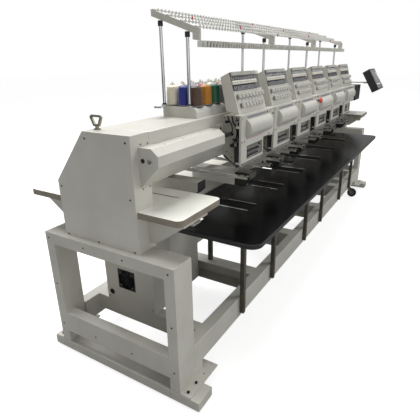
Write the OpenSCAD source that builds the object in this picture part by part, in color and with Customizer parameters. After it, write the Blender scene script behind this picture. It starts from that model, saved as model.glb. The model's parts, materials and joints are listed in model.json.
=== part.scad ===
// Six-head embroidery machine on two box-section end stands, millimetres.
// X runs along the machine, -Y is the operator's side, Z is up.
// The origin is the middle of the overall box at floor level.
// Y values below are measured from the front face of the stand legs.

/* [Machine] */
// Length between the outer faces of the two end stands
frame_len = 3940; // [3920:10:4200]
// Number of sewing heads
heads = 6; // [6:1:6]
// Distance from one needle line to the next
pitch = 450; // [445:1:460]

/* [End stands] */
// Depth of a stand, front face to back face
stand_depth = 803; // [790:1:1000]
// Width of a stand leg along the machine
stand_w = 131; // [100:1:140]
// Height of the stand's top face
stand_top = 725; // [715:1:735]
// Thickness of the stand's tubes
stand_tube = 57; // [40:1:62]
// Width of the foot below the long beams
foot_w = 200; // [170:1:205]
// Height of the rail that a stand sits on, floor to top face
rail_top = 61; // [40:1:70]
// Height of the levelling pads
pad_h = 12; // [8:1:20]
// Width of a floor rail
rail_w = 118; // [90:1:120]
// Wall of the stand's tubes and the long beams
tube_wall = 6; // [4:1:8]
// How far a rail sticks out beyond the stand's outer face
rail_proud = 2; // [0:1:10]
// How far a rail reaches in front of the stand
rail_front = 103; // [60:1:140]
// How far a rail reaches behind the stand
rail_back = 63; // [30:1:90]
// Radius of a levelling pad
pad_r = 28; // [20:1:40]

/* [Long beams and channels] */
// Underside of the long beams
beam_z0 = 115; // [100:1:120]
// Top of the long beams
beam_z1 = 246; // [220:1:260]
// Thickness of the long beams
beam_t = 63; // [40:1:70]
// Width of a cross channel
channel_w = 97; // [60:1:110]
// Sheet thickness of a cross channel
channel_t = 8; // [5:1:12]
// Distance from the middle to the outer cross channels
channel_x = 1051.5; // [1040:0.5:1060]
// Left face of the beam that carries the electrical box, from the stand's outer face
inner_beam_x = 238; // [210:1:260]
// Underside of that beam
inner_beam_z0 = 148; // [120:1:180]

/* [Bridge] */
// Wall of the bridge beam
bridge_wall = 12; // [8:1:20]
// Wall of the bed beam and its pedestals
bed_wall = 8; // [5:1:12]
// Front face of the bridge beam
bridge_y0 = 205; // [200:1:215]
// Back face of the bridge beam
bridge_y1 = 472; // [450:1:520]
// Underside of the bridge beam
bridge_z0 = 1025; // [1020:1:1040]
// Top of the bridge beam
bridge_z1 = 1248; // [1246:1:1260]
// Outer face of an end cover, from the stand's outer face
cover_x0 = 30; // [20:1:40]
// Inner edge of an end cover, from the stand's outer face
cover_x1 = 145; // [140:1:170]
// Back face of an end cover
cover_back = 676; // [640:1:720]
// Height where the end cover starts to slope
cover_slope_z = 1005; // [960:1:1050]
// Sheet thickness of the covers
sheet = 3; // [2:0.5:4]
// Gap between an end cover and the casting inside it
cover_gap = 7; // [4:1:10]

/* [Shaft housing] */
// Centre of the main shaft, from the front of the legs
shaft_y = 162; // [160:1:164]
// Height of the main shaft
shaft_z = 1142; // [1140:1:1146]
// Radius of the main shaft
shaft_r = 12.5; // [8:0.5:14]
// Radial running clearance of every shaft and bar
run_gap = 0.05; // [0.03:0.01:0.09]
// Front face of the housing
housing_front = 109; // [108:1:112]
// Top of the housing
housing_top = 1192; // [1185:1:1200]
// Inner end of the left housing, from the stand's outer face
housing_end = 630; // [500:5:700]

/* [Heads] */
// Width of an arm casting
arm_w = 120; // [90:1:124]
// Front face of an arm casting
arm_front = 108; // [106:1:110]
// Top of an arm casting
arm_top = 1240; // [1230:1:1243]
// Needle line, from the front of the legs
needle_y = 88; // [87:0.5:88]
// Distance between neighbouring needles
needle_pitch = 14.4; // [13:0.1:15]
// Needle bars in a head
needles = 15; // [9:2:15]
// Needle over the stitch hole, counted from the left
active_needle = 5; // [5:1:5]
// Radius of a needle bar
bar_r = 3.5; // [3:0.1:3.9]
// Tip of a raised needle
needle_tip_z = 946; // [945:0.5:948]
// Left edge of a needle case, from the needle line
case_left = -129; // [-132:1:-125]
// Right edge of the front plate
plate_right = 252; // [240:1:255]
// Right edge of the leg with the needle window
leg_right = 160; // [155:1:175]
// Right edge of the carrier box
carrier_right = 317; // [310:1:318]
// Front face of the needle case
case_front = 60; // [55:1:62]
// Thickness of the front plate
plate_t = 12; // [8:1:12]
// Lower end of the needle case
leg_bottom = 985; // [980:1:990]
// Step between the leg and the wide upper plate
step_z = 1098; // [1094:1:1099]
// Top of the front plate
case_top = 1247; // [1246:1:1248]

/* [Tension case] */
// Left edge of the tension case, from the needle line
tension_left = -100; // [-110:1:-90]
// Right edge of the tension case
tension_right = 250; // [240:1:260]
// Radius of a tension knob
knob_r = 15; // [10:0.5:17]
// Height of a tension knob
knob_h = 20; // [12:1:26]

/* [Cylinder beds] */
// Width of a cylinder bed
bed_w = 90; // [80:1:94]
// Top of the cylinder beds
bed_top = 925; // [924:1:926]
// Height of a cylinder bed
bed_h = 77; // [70:1:85]
// Front end of a cylinder bed
bed_front = 47; // [42:1:50]
// Length of the dark nose at its front
nose_len = 93; // [85:1:110]
// Radius of a hook shaft
hook_shaft_r = 8; // [6:0.5:10]
// Radius of a rotary hook
hook_r = 24; // [18:1:26]

/* [Table] */
// Table length
table_len = 3176; // [3000:1:3180]
// Front edge of the table, from the front of the legs
table_front = -200; // [-260:5:-180]
// Back edge of the table
table_back = 420; // [412:1:425]
// Top face of the lowered table
table_top_z = 711; // [700:1:720]
// Table thickness
table_t = 25; // [18:1:30]
// Travel of the table when it is raised
table_lift = 214; // [150:1:214]
// Gap between a bed and its slot in the table
slot_gap = 7; // [4:1:10]
// Outer size of a table sleeve
sleeve_w = 26; // [24:1:40]
// Size of a sliding table leg
leg_w = 17.4; // [12:0.1:20]

/* [Wing tables] */
// Outer edge of a wing table, from the stand's outer face
wing_x0 = 38; // [32:1:45]
// Inner edge of a wing table, from the stand's outer face
wing_x1 = 375; // [340:1:376]
// Front edge of a wing table
wing_front = -15; // [-60:1:0]
// Back edge of a wing table
wing_back = 915; // [880:1:940]
// Thickness of a wing table
wing_t = 30; // [20:1:30]

/* [Thread stand] */
// Length of one section of the thread stand
rack_pitch = 450; // [440:1:452]
// Left end of the thread stand, from the first needle line
rack_start = -285; // [-300:1:-270]
// Depth of the thread deck
deck_depth = 206; // [200:1:230]
// Height of the thread deck
deck_h = 52; // [45:1:60]
// Front face of the thread deck
deck_front = 225; // [215:1:240]
// Height of the brackets' front top corner
rack_front_z = 1659; // [1600:1:1700]
// Height of the brackets' back top corner
rack_back_z = 1756; // [1730:1:1800]
// Radius of a rack post
post_r = 8; // [6:0.5:9]
// Radius of a thread cone at its base
cone_r = 33; // [25:1:34]
// Height of a thread cone
cone_h = 112; // [90:1:130]

/* [Pantograph] */
// Rear face of the sash bar at rest
sash_y = 405; // [400:1:408]
// Section of the sash bar
sash_w = 30; // [20:1:30]
// Distance of a hoop arm from the needle line
hoop_x = 155; // [150:1:165]
// Width of a hoop arm
hoop_w = 20; // [15:1:24]
// Front end of a hoop arm
hoop_front = 5; // [-20:1:20]

/* [Casters] */
// Radius of a caster wheel
wheel_r = 50; // [40:1:52]
// Distance of the casters from the right stand's outer face
caster_in = 490; // [450:5:520]
// Trail of a caster
trail = 50; // [30:1:55]

/* [Control panel] */
// Panel width
panel_w = 320; // [240:1:320]
// Panel height
panel_h = 240; // [180:1:250]
// Panel thickness
panel_t = 75; // [40:1:80]
// Backward tilt of the panel
panel_tilt = 31; // [20:1:35]

/* [Hidden] */

half_len = frame_len / 2;
mid_y = (table_front + wing_back) / 2;
touch = 0.5; // clearance between bodies that slide past each other
through = 1; // how far a cut runs past a face
plate_side = 8;
stand_back = stand_depth;
window_y1 = stand_depth - stand_tube;
lower_beam_z0 = 134;
lower_beam_z1 = 253;
lower_beam_w = 60;
top_beam_h = 62;
bed_beam_y0 = 430;
bed_beam_y1 = 600;
bed_beam_z0 = 660;
bed_beam_z1 = 850;
pedestal_w = 310;
pedestal_y0 = 450;
casting_inset = sheet + cover_gap;
wall = 10; // arm casting wall
arm_bottom = 970;
arm_nose_y = 118;
arm_nose_z = 963;
rod_r = 5;
rod_y = 100;
rod_z = [1108, 1222];
block_h = 24;
block_front = 93;
box_x0 = 1510; // colour change box, from the middle
box_x1 = 1740;
box_z0 = 1085;
rod_right = 1668;
tension_top = [150, 1460];
tension_foot = [needle_y, 1251];
tension_dir = tension_top - tension_foot;
tension_lean = atan2(tension_dir[0], tension_dir[1]);
tension_face = norm(tension_dir);
case_shift = (ceil(needles / 2) - active_needle) * needle_pitch;
window = [99, 1015, 1080]; // half width, lower and upper edge
bump = [-67, 235, 1125, 1226]; // left, right, lower and upper edge
bump_out = 30;
bump_half = (bump[3] - bump[2]) / 2;
bump_r = (bump_half * bump_half + bump_out * bump_out) / (2 * bump_out);
bump_wall = 2.5;
take_up_y = 79;
take_up_z = (bump[2] + bump[3]) / 2;
take_up_r = 2.5;
button_r = 6;
button_press = 3;
button_out = 4;
start_at = [297, case_front + 2, 1218];
stop_at = [205, case_front, 1237];
stem_r = 8;
stop_collar = 14;
stop_stem = 26;
stop_press = 5;
emergency_at = [285, case_front + 2, 1214];
hook_z = bed_top - 39;
hook_y0 = needle_y + 4;
nose_back = bed_front + nose_len;
presser_y = 126;
presser_r = 3;
foot_z = bed_top + 11;
slot_w = bed_w + 2 * slot_gap;
drive_w = 80;
drive_x = 1410;
drive_y0 = 212;
drive_y1 = 700;
drive_top = bed_top;
drive_slot = drive_w + 2 * slot_gap;
table_half = table_len / 2;
sleeve_x = [-3 * pitch, -2 * pitch, -pitch / 2, pitch / 2, 2 * pitch, 3 * pitch];
rear_sleeve_y = 380;
channels = [-channel_x, -channel_x / 3, channel_x / 3, channel_x];
wing_top = bed_top;
wing_sub = 20;
box_t = 106;
box_y0 = 315;
box_y1 = 655;
box_z1 = 560;
fan_w = 120;
fan_t = 22;
fan_y = 503;
fan_z = 405;
fan_pad = 0.5;
rack_x0 = -2.5 * pitch + rack_start;
rack_len = heads * rack_pitch;
rack_y = [201, 478];
rack_slope = (rack_back_z - rack_front_z) / (rack_y[1] - rack_y[0]);
rack_post_y = [273, 429];
bracket_h = 32;
bracket_w = 14;
deck_top = bridge_z1 + deck_h;
cone_rows = [0.18, 0.53, 0.88];
hoop_z0 = bed_top + 3;
hoop_h = 14;
sash_z0 = hoop_z0 + hoop_h;
carriage_y = sash_y + touch;
caster_x = half_len - caster_in;
caster_y = [20, stand_depth - 20];
wheel_z = wheel_r + 1;
panel_x = 1810;
panel_pivot = [-24, 1257];
arm_pivot = [1790, 240];
arm_z = bridge_z1 + touch;

function station(i) = (i - (heads - 1) / 2) * pitch;
function needle_x(i) = case_shift + (i - ceil(needles / 2)) * needle_pitch;
function rack_z(y) = rack_front_z + (y - rack_y[0]) * rack_slope;

// Moves everything from the leg's front face to the overall middle.
module machine() translate([0, -mid_y, 0]) children();

// A child at the left end, drawn from the stand's outer face, and its mirror image.
module both_ends() {
    machine() translate([-half_len, 0, 0]) children();
    machine() mirror([1, 0, 0]) translate([-half_len, 0, 0]) children();
}

module left_end() machine() translate([-half_len, 0, 0]) children();

module each_head() machine() for (i = [0:heads - 1]) {
    $head = i;
    translate([station(i), 0, 0]) children();
}

// Box between two corners.
module block(a, b) translate(a) cube(b - a);

// Hollow box between two corners, open at both ends along one direction: 0 X, 1 Y, 2 Z.
module tube(a, b, t, dir) {
    inset = [for (k = [0:2]) k == dir ? -through : t];
    difference() {
        block(a, b);
        block(a + inset, b - inset);
    }
}

// A Y-Z outline drawn out along X from x0 to x1.
module along_x(x0, x1) translate([x0, 0, 0]) rotate([90, 0, 90]) linear_extrude(x1 - x0) children();

// A cylinder along X, starting at the given point.
module rod_x(p, r, h) translate(p) rotate([0, 90, 0]) cylinder(r = r, h = h, $fn = 48);

// A cylinder along +Y, starting at the given point.
module rod_y(p, r, h) translate(p) rotate([-90, 0, 0]) cylinder(r = r, h = h, $fn = 48);

module base_rails() color("#c9c6bb") both_ends() {
    block([-rail_proud, -rail_front, pad_h], [rail_w - rail_proud, stand_back + rail_back, rail_top]);
    for (back = [0, 1]) translate([0, back * stand_back, 0]) mirror([0, back, 0]) difference() {
        union() {
            block([0, -58, rail_top], [foot_w + 50, 0, rail_top + plate_side]);
            block([foot_w + 4, -58, rail_top], [foot_w + 50, 31, rail_top + plate_side]);
        }
        for (x = [0, 76]) translate([foot_w - 38 + x, -29, rail_top - through])
            cylinder(r = 4.5, h = plate_side + 2 * through, $fn = 32);
    }
}

module levelling_pads() color("#2b2b2b") both_ends()
    for (y = [-70, stand_depth / 2, stand_back + rail_back - 35])
        translate([rail_w / 2 - rail_proud, y, 0]) {
            cylinder(r = pad_r, h = pad_h * 0.6, $fn = 48);
            cylinder(r = pad_r * 0.4, h = pad_h, $fn = 32);
        }

module end_stands() color("#c9c6bb") both_ends() {
    for (y = [0, window_y1]) difference() {
        block([0, y, rail_top], [stand_w, y + stand_tube, stand_top]);
        block([tube_wall, y + tube_wall, rail_top - through],
            [stand_w - tube_wall, y + stand_tube - tube_wall, stand_top - tube_wall]);
    }
    for (y = [0, window_y1]) block([stand_w, y, rail_top], [foot_w, y + stand_tube, beam_z0]);
    tube([0, stand_tube, stand_top - top_beam_h], [stand_w, window_y1, stand_top], tube_wall, 1);
    tube([0, stand_tube, lower_beam_z0], [lower_beam_w, window_y1, lower_beam_z1], tube_wall, 1);
}

module channel() difference() {
    block([-channel_w / 2, beam_t, beam_z0], [channel_w / 2, stand_back - beam_t, beam_z1]);
    block([-channel_w / 2 - through, beam_t - through, beam_z0 + channel_t],
        [channel_w / 2 - channel_t, stand_back - beam_t + through, beam_z1 - channel_t]);
}

module floor_frame() color("#c2bfb4") {
    machine() for (y = [0, stand_back - beam_t])
        tube([-half_len + stand_w, y, beam_z0], [half_len - stand_w, y + beam_t, beam_z1], tube_wall, 0);
    both_ends() tube([inner_beam_x, beam_t, inner_beam_z0],
        [inner_beam_x + beam_t, stand_back - beam_t, beam_z1], tube_wall, 1);
    machine() for (x = channels) translate([x, 0, 0]) channel();
}

// Socket screws of the foot plates and the black screws of covers and stands.
module frame_screws() color("#3a3a3c") {
    both_ends() for (x = [24, 92], back = [0, 1]) translate([x, back ? stand_back + 29 : -29, rail_top + plate_side])
        cylinder(r = 7, h = 6, $fn = 24);
    both_ends() for (y = [33, 285, 532, 778]) rod_x([-1.5, y, stand_top - top_beam_h / 2], 4, 1.5);
    both_ends() for (y = [285, 532]) rod_x([-1.5, y, 176], 4, 1.5);
    both_ends() for (y = [stand_tube / 2, stand_back - stand_tube / 2], z = [176, 428])
        rod_x([-1.5, y, z], 4, 1.5);
    both_ends() for (p = [[231, 733], [451, 733], [655, 733], [231, 978], [655, 978], [231, 1218], [460, 1218]])
        rod_x([cover_x0 - 1.5, p[0], p[1]], 4, 1.5);
}

module bed_support() color("#bdbab0") {
    machine() tube([-half_len + cover_x1 + through, bed_beam_y0, bed_beam_z0],
        [half_len - cover_x1 - through, bed_beam_y1, bed_beam_z1], bed_wall, 0);
    machine() for (m = [0, 1]) mirror([m, 0, 0])
        tube([-channel_x - channel_w / 2 - pedestal_w, pedestal_y0, beam_z0],
            [-channel_x - channel_w / 2, stand_back - beam_t, bed_beam_z0], bed_wall, 2);
}

module cylinder_beds() color("#cfccc2") each_head() difference() {
    block([-bed_w / 2, nose_back, bed_top - bed_h], [bed_w / 2, bed_beam_y0, bed_top]);
    rod_y([0, nose_back - through, hook_z], hook_shaft_r + run_gap, bed_beam_y0);
}

// Hollow dark nose around the rotary hook, open to the bed behind it.
module bed_noses() color("#2e2e30") each_head() difference() {
    along_x(-bed_w / 2, bed_w / 2) polygon([[bed_front, bed_top - 2], [nose_back, bed_top - 2],
        [nose_back, bed_top - bed_h], [bed_front + 34, bed_top - bed_h], [bed_front, bed_top - bed_h + 38]]);
    along_x(-bed_w / 2 + 6, bed_w / 2 - 6) polygon([[bed_front + 6, bed_top - 7],
        [nose_back + through, bed_top - 7], [nose_back + through, bed_top - bed_h + 6],
        [bed_front + 38, bed_top - bed_h + 6], [bed_front + 6, bed_top - bed_h + 41]]);
    translate([0, needle_y, bed_top - 8]) cylinder(r = 7, h = 8, $fn = 32);
}

module needle_plates() color("#b9bbbe") each_head() difference() {
    block([-32, bed_front + 12, bed_top - 2], [32, nose_back - 12, bed_top]);
    translate([0, needle_y, bed_top - 3]) cylinder(r = 2, h = 4, $fn = 24);
}

// Bridge beam between the two end castings.
module bridge_frame() color("#d3d1c7") {
    machine() tube([-half_len + cover_x1, bridge_y0, bridge_z0],
        [half_len - cover_x1, bridge_y1, bridge_z1], bridge_wall, 0);
    both_ends() difference() {
        along_x(cover_x0 + casting_inset, cover_x1) casting_outline(0);
        along_x(cover_x0 + casting_inset + bridge_wall, cover_x1 - bridge_wall) casting_outline(bridge_wall);
    }
}

// Profile of an end casting, open at the bottom where it stands on the tube frame.
module casting_outline(inset) polygon([
    [bridge_y0 + casting_inset + inset, stand_top - (inset > 0 ? through : 0)],
    [bridge_y0 + casting_inset + inset, bridge_z1 - casting_inset - inset],
    [bridge_y1 - casting_inset - inset * 0.5, bridge_z1 - casting_inset - inset],
    [cover_back - casting_inset - 6 - inset, cover_slope_z - 5 - inset * 0.5],
    [cover_back - casting_inset - 6 - inset, stand_top - (inset > 0 ? through : 0)]]);

module cover_outline(inset) polygon([[bridge_y0 + inset, stand_top - (inset > 0 ? through : 0)],
    [bridge_y0 + inset, bridge_z1 - inset], [bridge_y1 - inset * 0.5, bridge_z1 - inset],
    [cover_back - inset, cover_slope_z - inset * 0.5],
    [cover_back - inset, stand_top - (inset > 0 ? through : 0)]]);

module end_covers() color("#d3d1c7") both_ends() difference() {
    along_x(cover_x0, cover_x1) cover_outline(0);
    along_x(cover_x0 + sheet, cover_x1 + through) cover_outline(sheet);
}

module lifting_eyes() color("#8d8984") both_ends() translate([cover_x0 + 60, bridge_y0 + 235, bridge_z1]) {
    cylinder(r = 15, h = 5, $fn = 48);
    cylinder(r = 8, h = 16, $fn = 32);
    along_x(-5, 5) difference() {
        polygon([[-17, 14], [17, 14], [35, 52], [26, 62], [-26, 62], [-35, 52]]);
        polygon([[-9, 23], [9, 23], [24, 51], [21, 53], [-21, 53], [-24, 51]]);
    }
}

// Octagonal nose profile of the shaft housing in front of the bridge.
module housing_outline(grow) polygon([[bridge_y0, housing_top + grow],
    [housing_front + 32 - grow * 0.4, housing_top + grow],
    [housing_front - grow, housing_top - 27 + grow * 0.4], [housing_front - grow, housing_top - 71],
    [bridge_y0, bridge_z0 - 1 - grow]]);

module housing(x0, x1, closed) difference() {
    along_x(x0, x1) housing_outline(0);
    along_x(x0 + (closed ? sheet : -through), x1 + through) translate([through, 0]) housing_outline(-sheet);
}

module shaft_housings() color("#d6d4ca") {
    left_end() {
        housing(150, housing_end, false);
        difference() {
            along_x(75, 150) housing_outline(sheet);
            along_x(75 + sheet, 151) translate([through, 0]) housing_outline(-sheet);
            for (y = [149, 185]) rod_x([74, y, 1141], y == 149 ? 10 + run_gap : 9, 6);
        }
    }
    machine() for (i = [0:heads - 2])
        housing(station(i) + arm_w / 2 + 10, station(i + 1) - arm_w / 2 - 10, false);
    machine() housing(box_x1 + 5, half_len - 75, false);
}

module arm_castings() color("#cfcdc4") each_head() {
    difference() {
        along_x(-arm_w / 2, arm_w / 2) polygon([[bridge_y0, arm_top], [arm_front, arm_top],
            [arm_front, arm_bottom], [arm_nose_y, arm_nose_z], [bridge_y0, bridge_z0 - 1]]);
        along_x(-arm_w / 2 + wall, arm_w / 2 - wall) polygon([[bridge_y0 - wall, arm_top - wall],
            [arm_front + wall, arm_top - wall], [arm_front + wall, arm_bottom + 14],
            [bridge_y0 - wall, bridge_z0 + wall]]);
        block([-12, arm_front - through, arm_bottom + 40], [12, arm_front + wall + through, arm_top - 50]);
        rod_x([-arm_w, shaft_y, shaft_z], shaft_r + run_gap, 2 * arm_w);
        translate([0, presser_y, arm_nose_z - 5]) cylinder(r = presser_r + run_gap, h = 60, $fn = 32);
    }
    for (z = rod_z) difference() {
        block([-arm_w / 2, block_front, z - block_h / 2], [arm_w / 2, arm_front, z + block_h / 2]);
        rod_x([-arm_w, rod_y, z], rod_r + run_gap, 2 * arm_w);
        block([-13, arm_front - 5, z - block_h], [13, arm_front + through, z + block_h]);
    }
}

module wing_tables() color("#e2dfd2") both_ends() difference() {
    translate([0, 0, wing_top - wing_t]) linear_extrude(wing_t) difference() {
        hull() for (x = [wing_x0, wing_x1], y = [wing_front, wing_back])
            translate([x == wing_x0 ? x + 30 : x - 30, y == wing_front ? y + 30 : y - 30])
                circle(r = 30, $fn = 48);
        translate([0, bridge_y0]) square([cover_x1 + 2, cover_back - bridge_y0]);
    }
    block([274, 162, wing_top - wing_t - through], [282, 317, wing_top + through]);
}

module wing_brackets() color("#cfccc0") both_ends() for (back = [0, 1])
    translate([0, back * (cover_back + bridge_y0), 0]) mirror([0, back, 0]) {
        block([85, 0, wing_top - wing_t - wing_sub], [270, bridge_y0, wing_top - wing_t]);
        along_x(100, 104) polygon([[bridge_y0, wing_top - wing_t - wing_sub],
            [4, wing_top - wing_t - wing_sub], [165, 763], [bridge_y0, 760]]);
        difference() {
            block([190, 24, 842], [250, 64, wing_top - wing_t - wing_sub]);
            block([194, 23, 846], [246, 60, wing_top - wing_t - wing_sub - 4]);
        }
    }

module electrical_box() color("#cbc9bd") left_end() difference() {
    block([inner_beam_x - 6, box_y0, beam_z1], [inner_beam_x - 6 + box_t, box_y1, box_z1]);
    block([inner_beam_x - 4, box_y0 + 2, beam_z1 + 2], [inner_beam_x - 8 + box_t, box_y1 - 2, box_z1 - 2]);
    block([inner_beam_x - 8, fan_y - fan_w / 2 - fan_pad, fan_z - fan_w / 2 - fan_pad],
        [inner_beam_x, fan_y + fan_w / 2 + fan_pad, fan_z + fan_w / 2 + fan_pad]);
    rod_x([inner_beam_x - 8, 619, 300], 14, 8);
}

module fan_frame() color("#1c1c1e") left_end() {
    difference() {
        block([inner_beam_x - 6, fan_y - fan_w / 2, fan_z - fan_w / 2],
            [inner_beam_x - 6 + fan_t, fan_y + fan_w / 2, fan_z + fan_w / 2]);
        rod_x([inner_beam_x - 7, fan_y, fan_z], fan_w / 2 - 4, fan_t - 2);
        for (a = [45:90:315]) rod_x([inner_beam_x - 7, fan_y + 30 * cos(a), fan_z + 30 * sin(a)], 14, fan_t + 2);
        rod_x([inner_beam_x - 7, fan_y, fan_z], 3 + run_gap, fan_t + 2);
    }
    block([inner_beam_x - 6 + fan_t, fan_y - 20, fan_z - fan_w / 2], [inner_beam_x - 8 + box_t, fan_y + 20, fan_z - fan_w / 2 + 4]);
}

module fan_rotor() color("#161618") left_end() {
    rod_x([inner_beam_x - 2, fan_y, fan_z], 19, 12);
    rod_x([inner_beam_x - 2, fan_y, fan_z], 3, fan_t - 4);
    for (a = [0:360 / 7:359]) translate([inner_beam_x + 4, fan_y, fan_z]) rotate([a, 0, 0])
        translate([0, 0, 35]) rotate([0, 0, 35]) cube([2, 16, 38], center = true);
}

module y_drive_housings() color("#cbc8be") machine() for (x = [-drive_x, 0, drive_x]) difference() {
    translate([x, 0, 0]) along_x(-drive_w / 2, drive_w / 2) polygon([[drive_y0, drive_top],
        [drive_y1, drive_top], [drive_y1, bed_beam_z1], [drive_y0 + 26, bed_beam_z1], [drive_y0, bed_beam_z1 + 26]]);
}

module deck_outline() {
    deck_round = deck_h / 2;
    translate([deck_front + deck_round, bridge_z1]) square([deck_depth - deck_round, deck_h]);
    translate([deck_front, bridge_z1]) square([deck_depth, deck_h - deck_round]);
    translate([deck_front + deck_round, deck_top - deck_round]) circle(r = deck_round, $fn = 64);
}

module thread_deck() color("#dad9d2") machine() {
    along_x(rack_x0 - 12, rack_x0 + rack_len + 12) deck_outline();
    for (k = [0:heads * 5 - 1], row = cone_rows) translate([rack_x0 + 45 + k * rack_pitch / 5,
        deck_front + row * deck_depth, deck_top - through]) cylinder(r = 3, h = cone_h + 6, $fn = 16);
}

module rack_posts() color("#b8babd") machine() for (i = [0:3], y = rack_post_y)
    translate([rack_x0 + i * 2 * rack_pitch, y, deck_top])
        cylinder(r = post_r, h = rack_z(y - post_r) - bracket_h - deck_top, $fn = 32);

module rack_brackets() color("#d8d7cf") machine() for (i = [0:3])
    along_x(rack_x0 + i * 2 * rack_pitch - bracket_w / 2, rack_x0 + i * 2 * rack_pitch + bracket_w / 2)
        difference() {
            polygon([[rack_y[0], rack_front_z], [rack_y[1], rack_back_z], [rack_y[1], rack_back_z - bracket_h],
                [rack_y[0] + 39, rack_z(rack_y[0] + 39) - bracket_h], [rack_y[0] + 39, 1612], [rack_y[0], 1606]]);
            for (y = rack_post_y) translate([y - post_r - through, rack_z(y - post_r) - bracket_h - 20])
                square([2 * post_r + 2 * through, 20]);
        }

// Four eyelet bars across the brackets and the lower front guide bar.
module guide_bars() color("#e6e5df") machine() {
    for (k = [0:3]) translate([rack_x0 - bracket_w / 2, rack_y[0] + 12 + k * 80, rack_z(rack_y[0] + 12 + k * 80)])
        rotate([atan(rack_slope), 0, 0]) cube([rack_len + bracket_w, 16, 6]);
    block([rack_x0 - bracket_w / 2, rack_y[0] - 11, 1578], [rack_x0 + rack_len + bracket_w / 2, rack_y[0] + 14, 1606]);
}

module thread_cones() color("#c98a1e") machine() for (k = [0:heads * 5 - 1], row = cone_rows)
    translate([rack_x0 + 45 + k * rack_pitch / 5, deck_front + row * deck_depth, deck_top]) difference() {
        union() {
            cylinder(r1 = cone_r, r2 = cone_r - 3, h = cone_h - 14, $fn = 32);
            translate([0, 0, cone_h - 14]) cylinder(r1 = cone_r - 3, r2 = 15, h = 10, $fn = 32);
            cylinder(r = 10, h = cone_h, $fn = 32);
        }
        translate([0, 0, -1]) cylinder(r = 3.2, h = cone_h + 2, $fn = 16);
    }

module sleeve(z0, bore) difference() {
    block([-sleeve_w / 2, -sleeve_w / 2, z0], [sleeve_w / 2, sleeve_w / 2, table_top_z - table_t - 3]);
    block([-bore / 2, -bore / 2, z0 + 5], [bore / 2, bore / 2, table_top_z]);
}

module at_sleeves() machine() {
    for (x = sleeve_x) translate([x, -sleeve_w / 2, 0]) children(0);
    for (x = channels) translate([x, rear_sleeve_y, 0]) children(1);
}

module table_sleeves() color("#8a8578") at_sleeves() {
    sleeve(beam_z0 + 26, leg_w + 2 * 0.3);
    sleeve(beam_z1, leg_w + 2 * 0.3);
}

module main_motor() color("#2f3033") left_end() difference() {
    union() {
        block([160, 135, 1106], [262, bridge_y0, 1178]);
        rod_x([262, shaft_y, shaft_z], 24, 12);
    }
    rod_x([230, shaft_y, shaft_z], shaft_r + run_gap, 60);
}

module color_change_box() color("#3b3a3c") machine() difference() {
    block([box_x0, case_front + 2, box_z0], [box_x1, bridge_y0, arm_top]);
    block([box_x0 + sheet, case_front + 2 + sheet, box_z0 + sheet],
        [box_x1 - sheet, bridge_y0 - sheet, arm_top - sheet]);
    for (z = rod_z) rod_x([box_x0 - through, rod_y, z], rod_r + run_gap, sheet + 2 * through);
}

module main_shaft() color("#a9abae") machine() {
    rod_x([-half_len + 232, shaft_y, shaft_z], shaft_r, half_len - 232 + station(heads - 1) + arm_w / 2 + 15);
    for (i = [0:heads - 1]) difference() {
        rod_x([station(i) - 9, shaft_y, shaft_z], 26, 18);
        for (s = [-1, 1]) rod_x([station(i) - 10, shaft_y, shaft_z + s * 19], 4, 20);
    }
}

// Rotary hook and its shaft inside one cylinder bed.
module hook(i) color("#9d9fa3") machine() translate([station(i), 0, 0]) difference() {
    union() {
        rod_y([0, hook_y0, hook_z], hook_r, 20);
        rod_y([0, hook_y0 + 20, hook_z], hook_shaft_r, bed_beam_y0 - hook_y0 - 20.5);
    }
    rod_y([0, hook_y0 - through, hook_z], hook_r - 6, 13);
    block([10, hook_y0 - through, hook_z + 8], [hook_r + 2, hook_y0 + 8, hook_z + 12]);
}

module hook_one() hook(0);

module hook_two() hook(1);

module hook_three() hook(2);

module hook_four() hook(3);

module hook_five() hook(4);

module hook_six() hook(5);

// Slanted upper case that carries the thread tensions.
module tension_cases() color("#d9d8d0") each_head() difference() {
    along_x(tension_left, tension_right) polygon([tension_foot, [rod_y + 7, tension_foot[1]],
        [165, 1268], [200, 1436], tension_top]);
    along_x(tension_left + sheet, tension_right - sheet) polygon([tension_foot + [7, 5],
        [rod_y + 6, tension_foot[1] + 5], [165 + through, 1275], [200 + through, 1431], tension_top + [0, -8]]);
    on_tension_face() translate([tension_left + sheet, -through, tension_face * 0.56])
        cube([tension_right - tension_left - 2 * sheet, 10, tension_face * 0.36]);
}

// Places a child on the slanted face: X along it, Z up the slope, +Y into the case.
module on_tension_face() translate([0, tension_foot[0], tension_foot[1]])
    rotate([-tension_lean, 0, 0]) children();

module tension_knobs() color("#e9e8e2") each_head() on_tension_face() {
    knob_step = (tension_right - tension_left) / (ceil(needles / 2) + 0.5);
    for (k = [0:needles - 1]) rod_y([tension_left + knob_step * (0.5 + floor(k / 2) + (k % 2) / 2) + knob_step * 0.25,
        -knob_h, tension_face * (k % 2 == 0 ? 0.42 : 0.2)], knob_r, knob_h);
}

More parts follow.
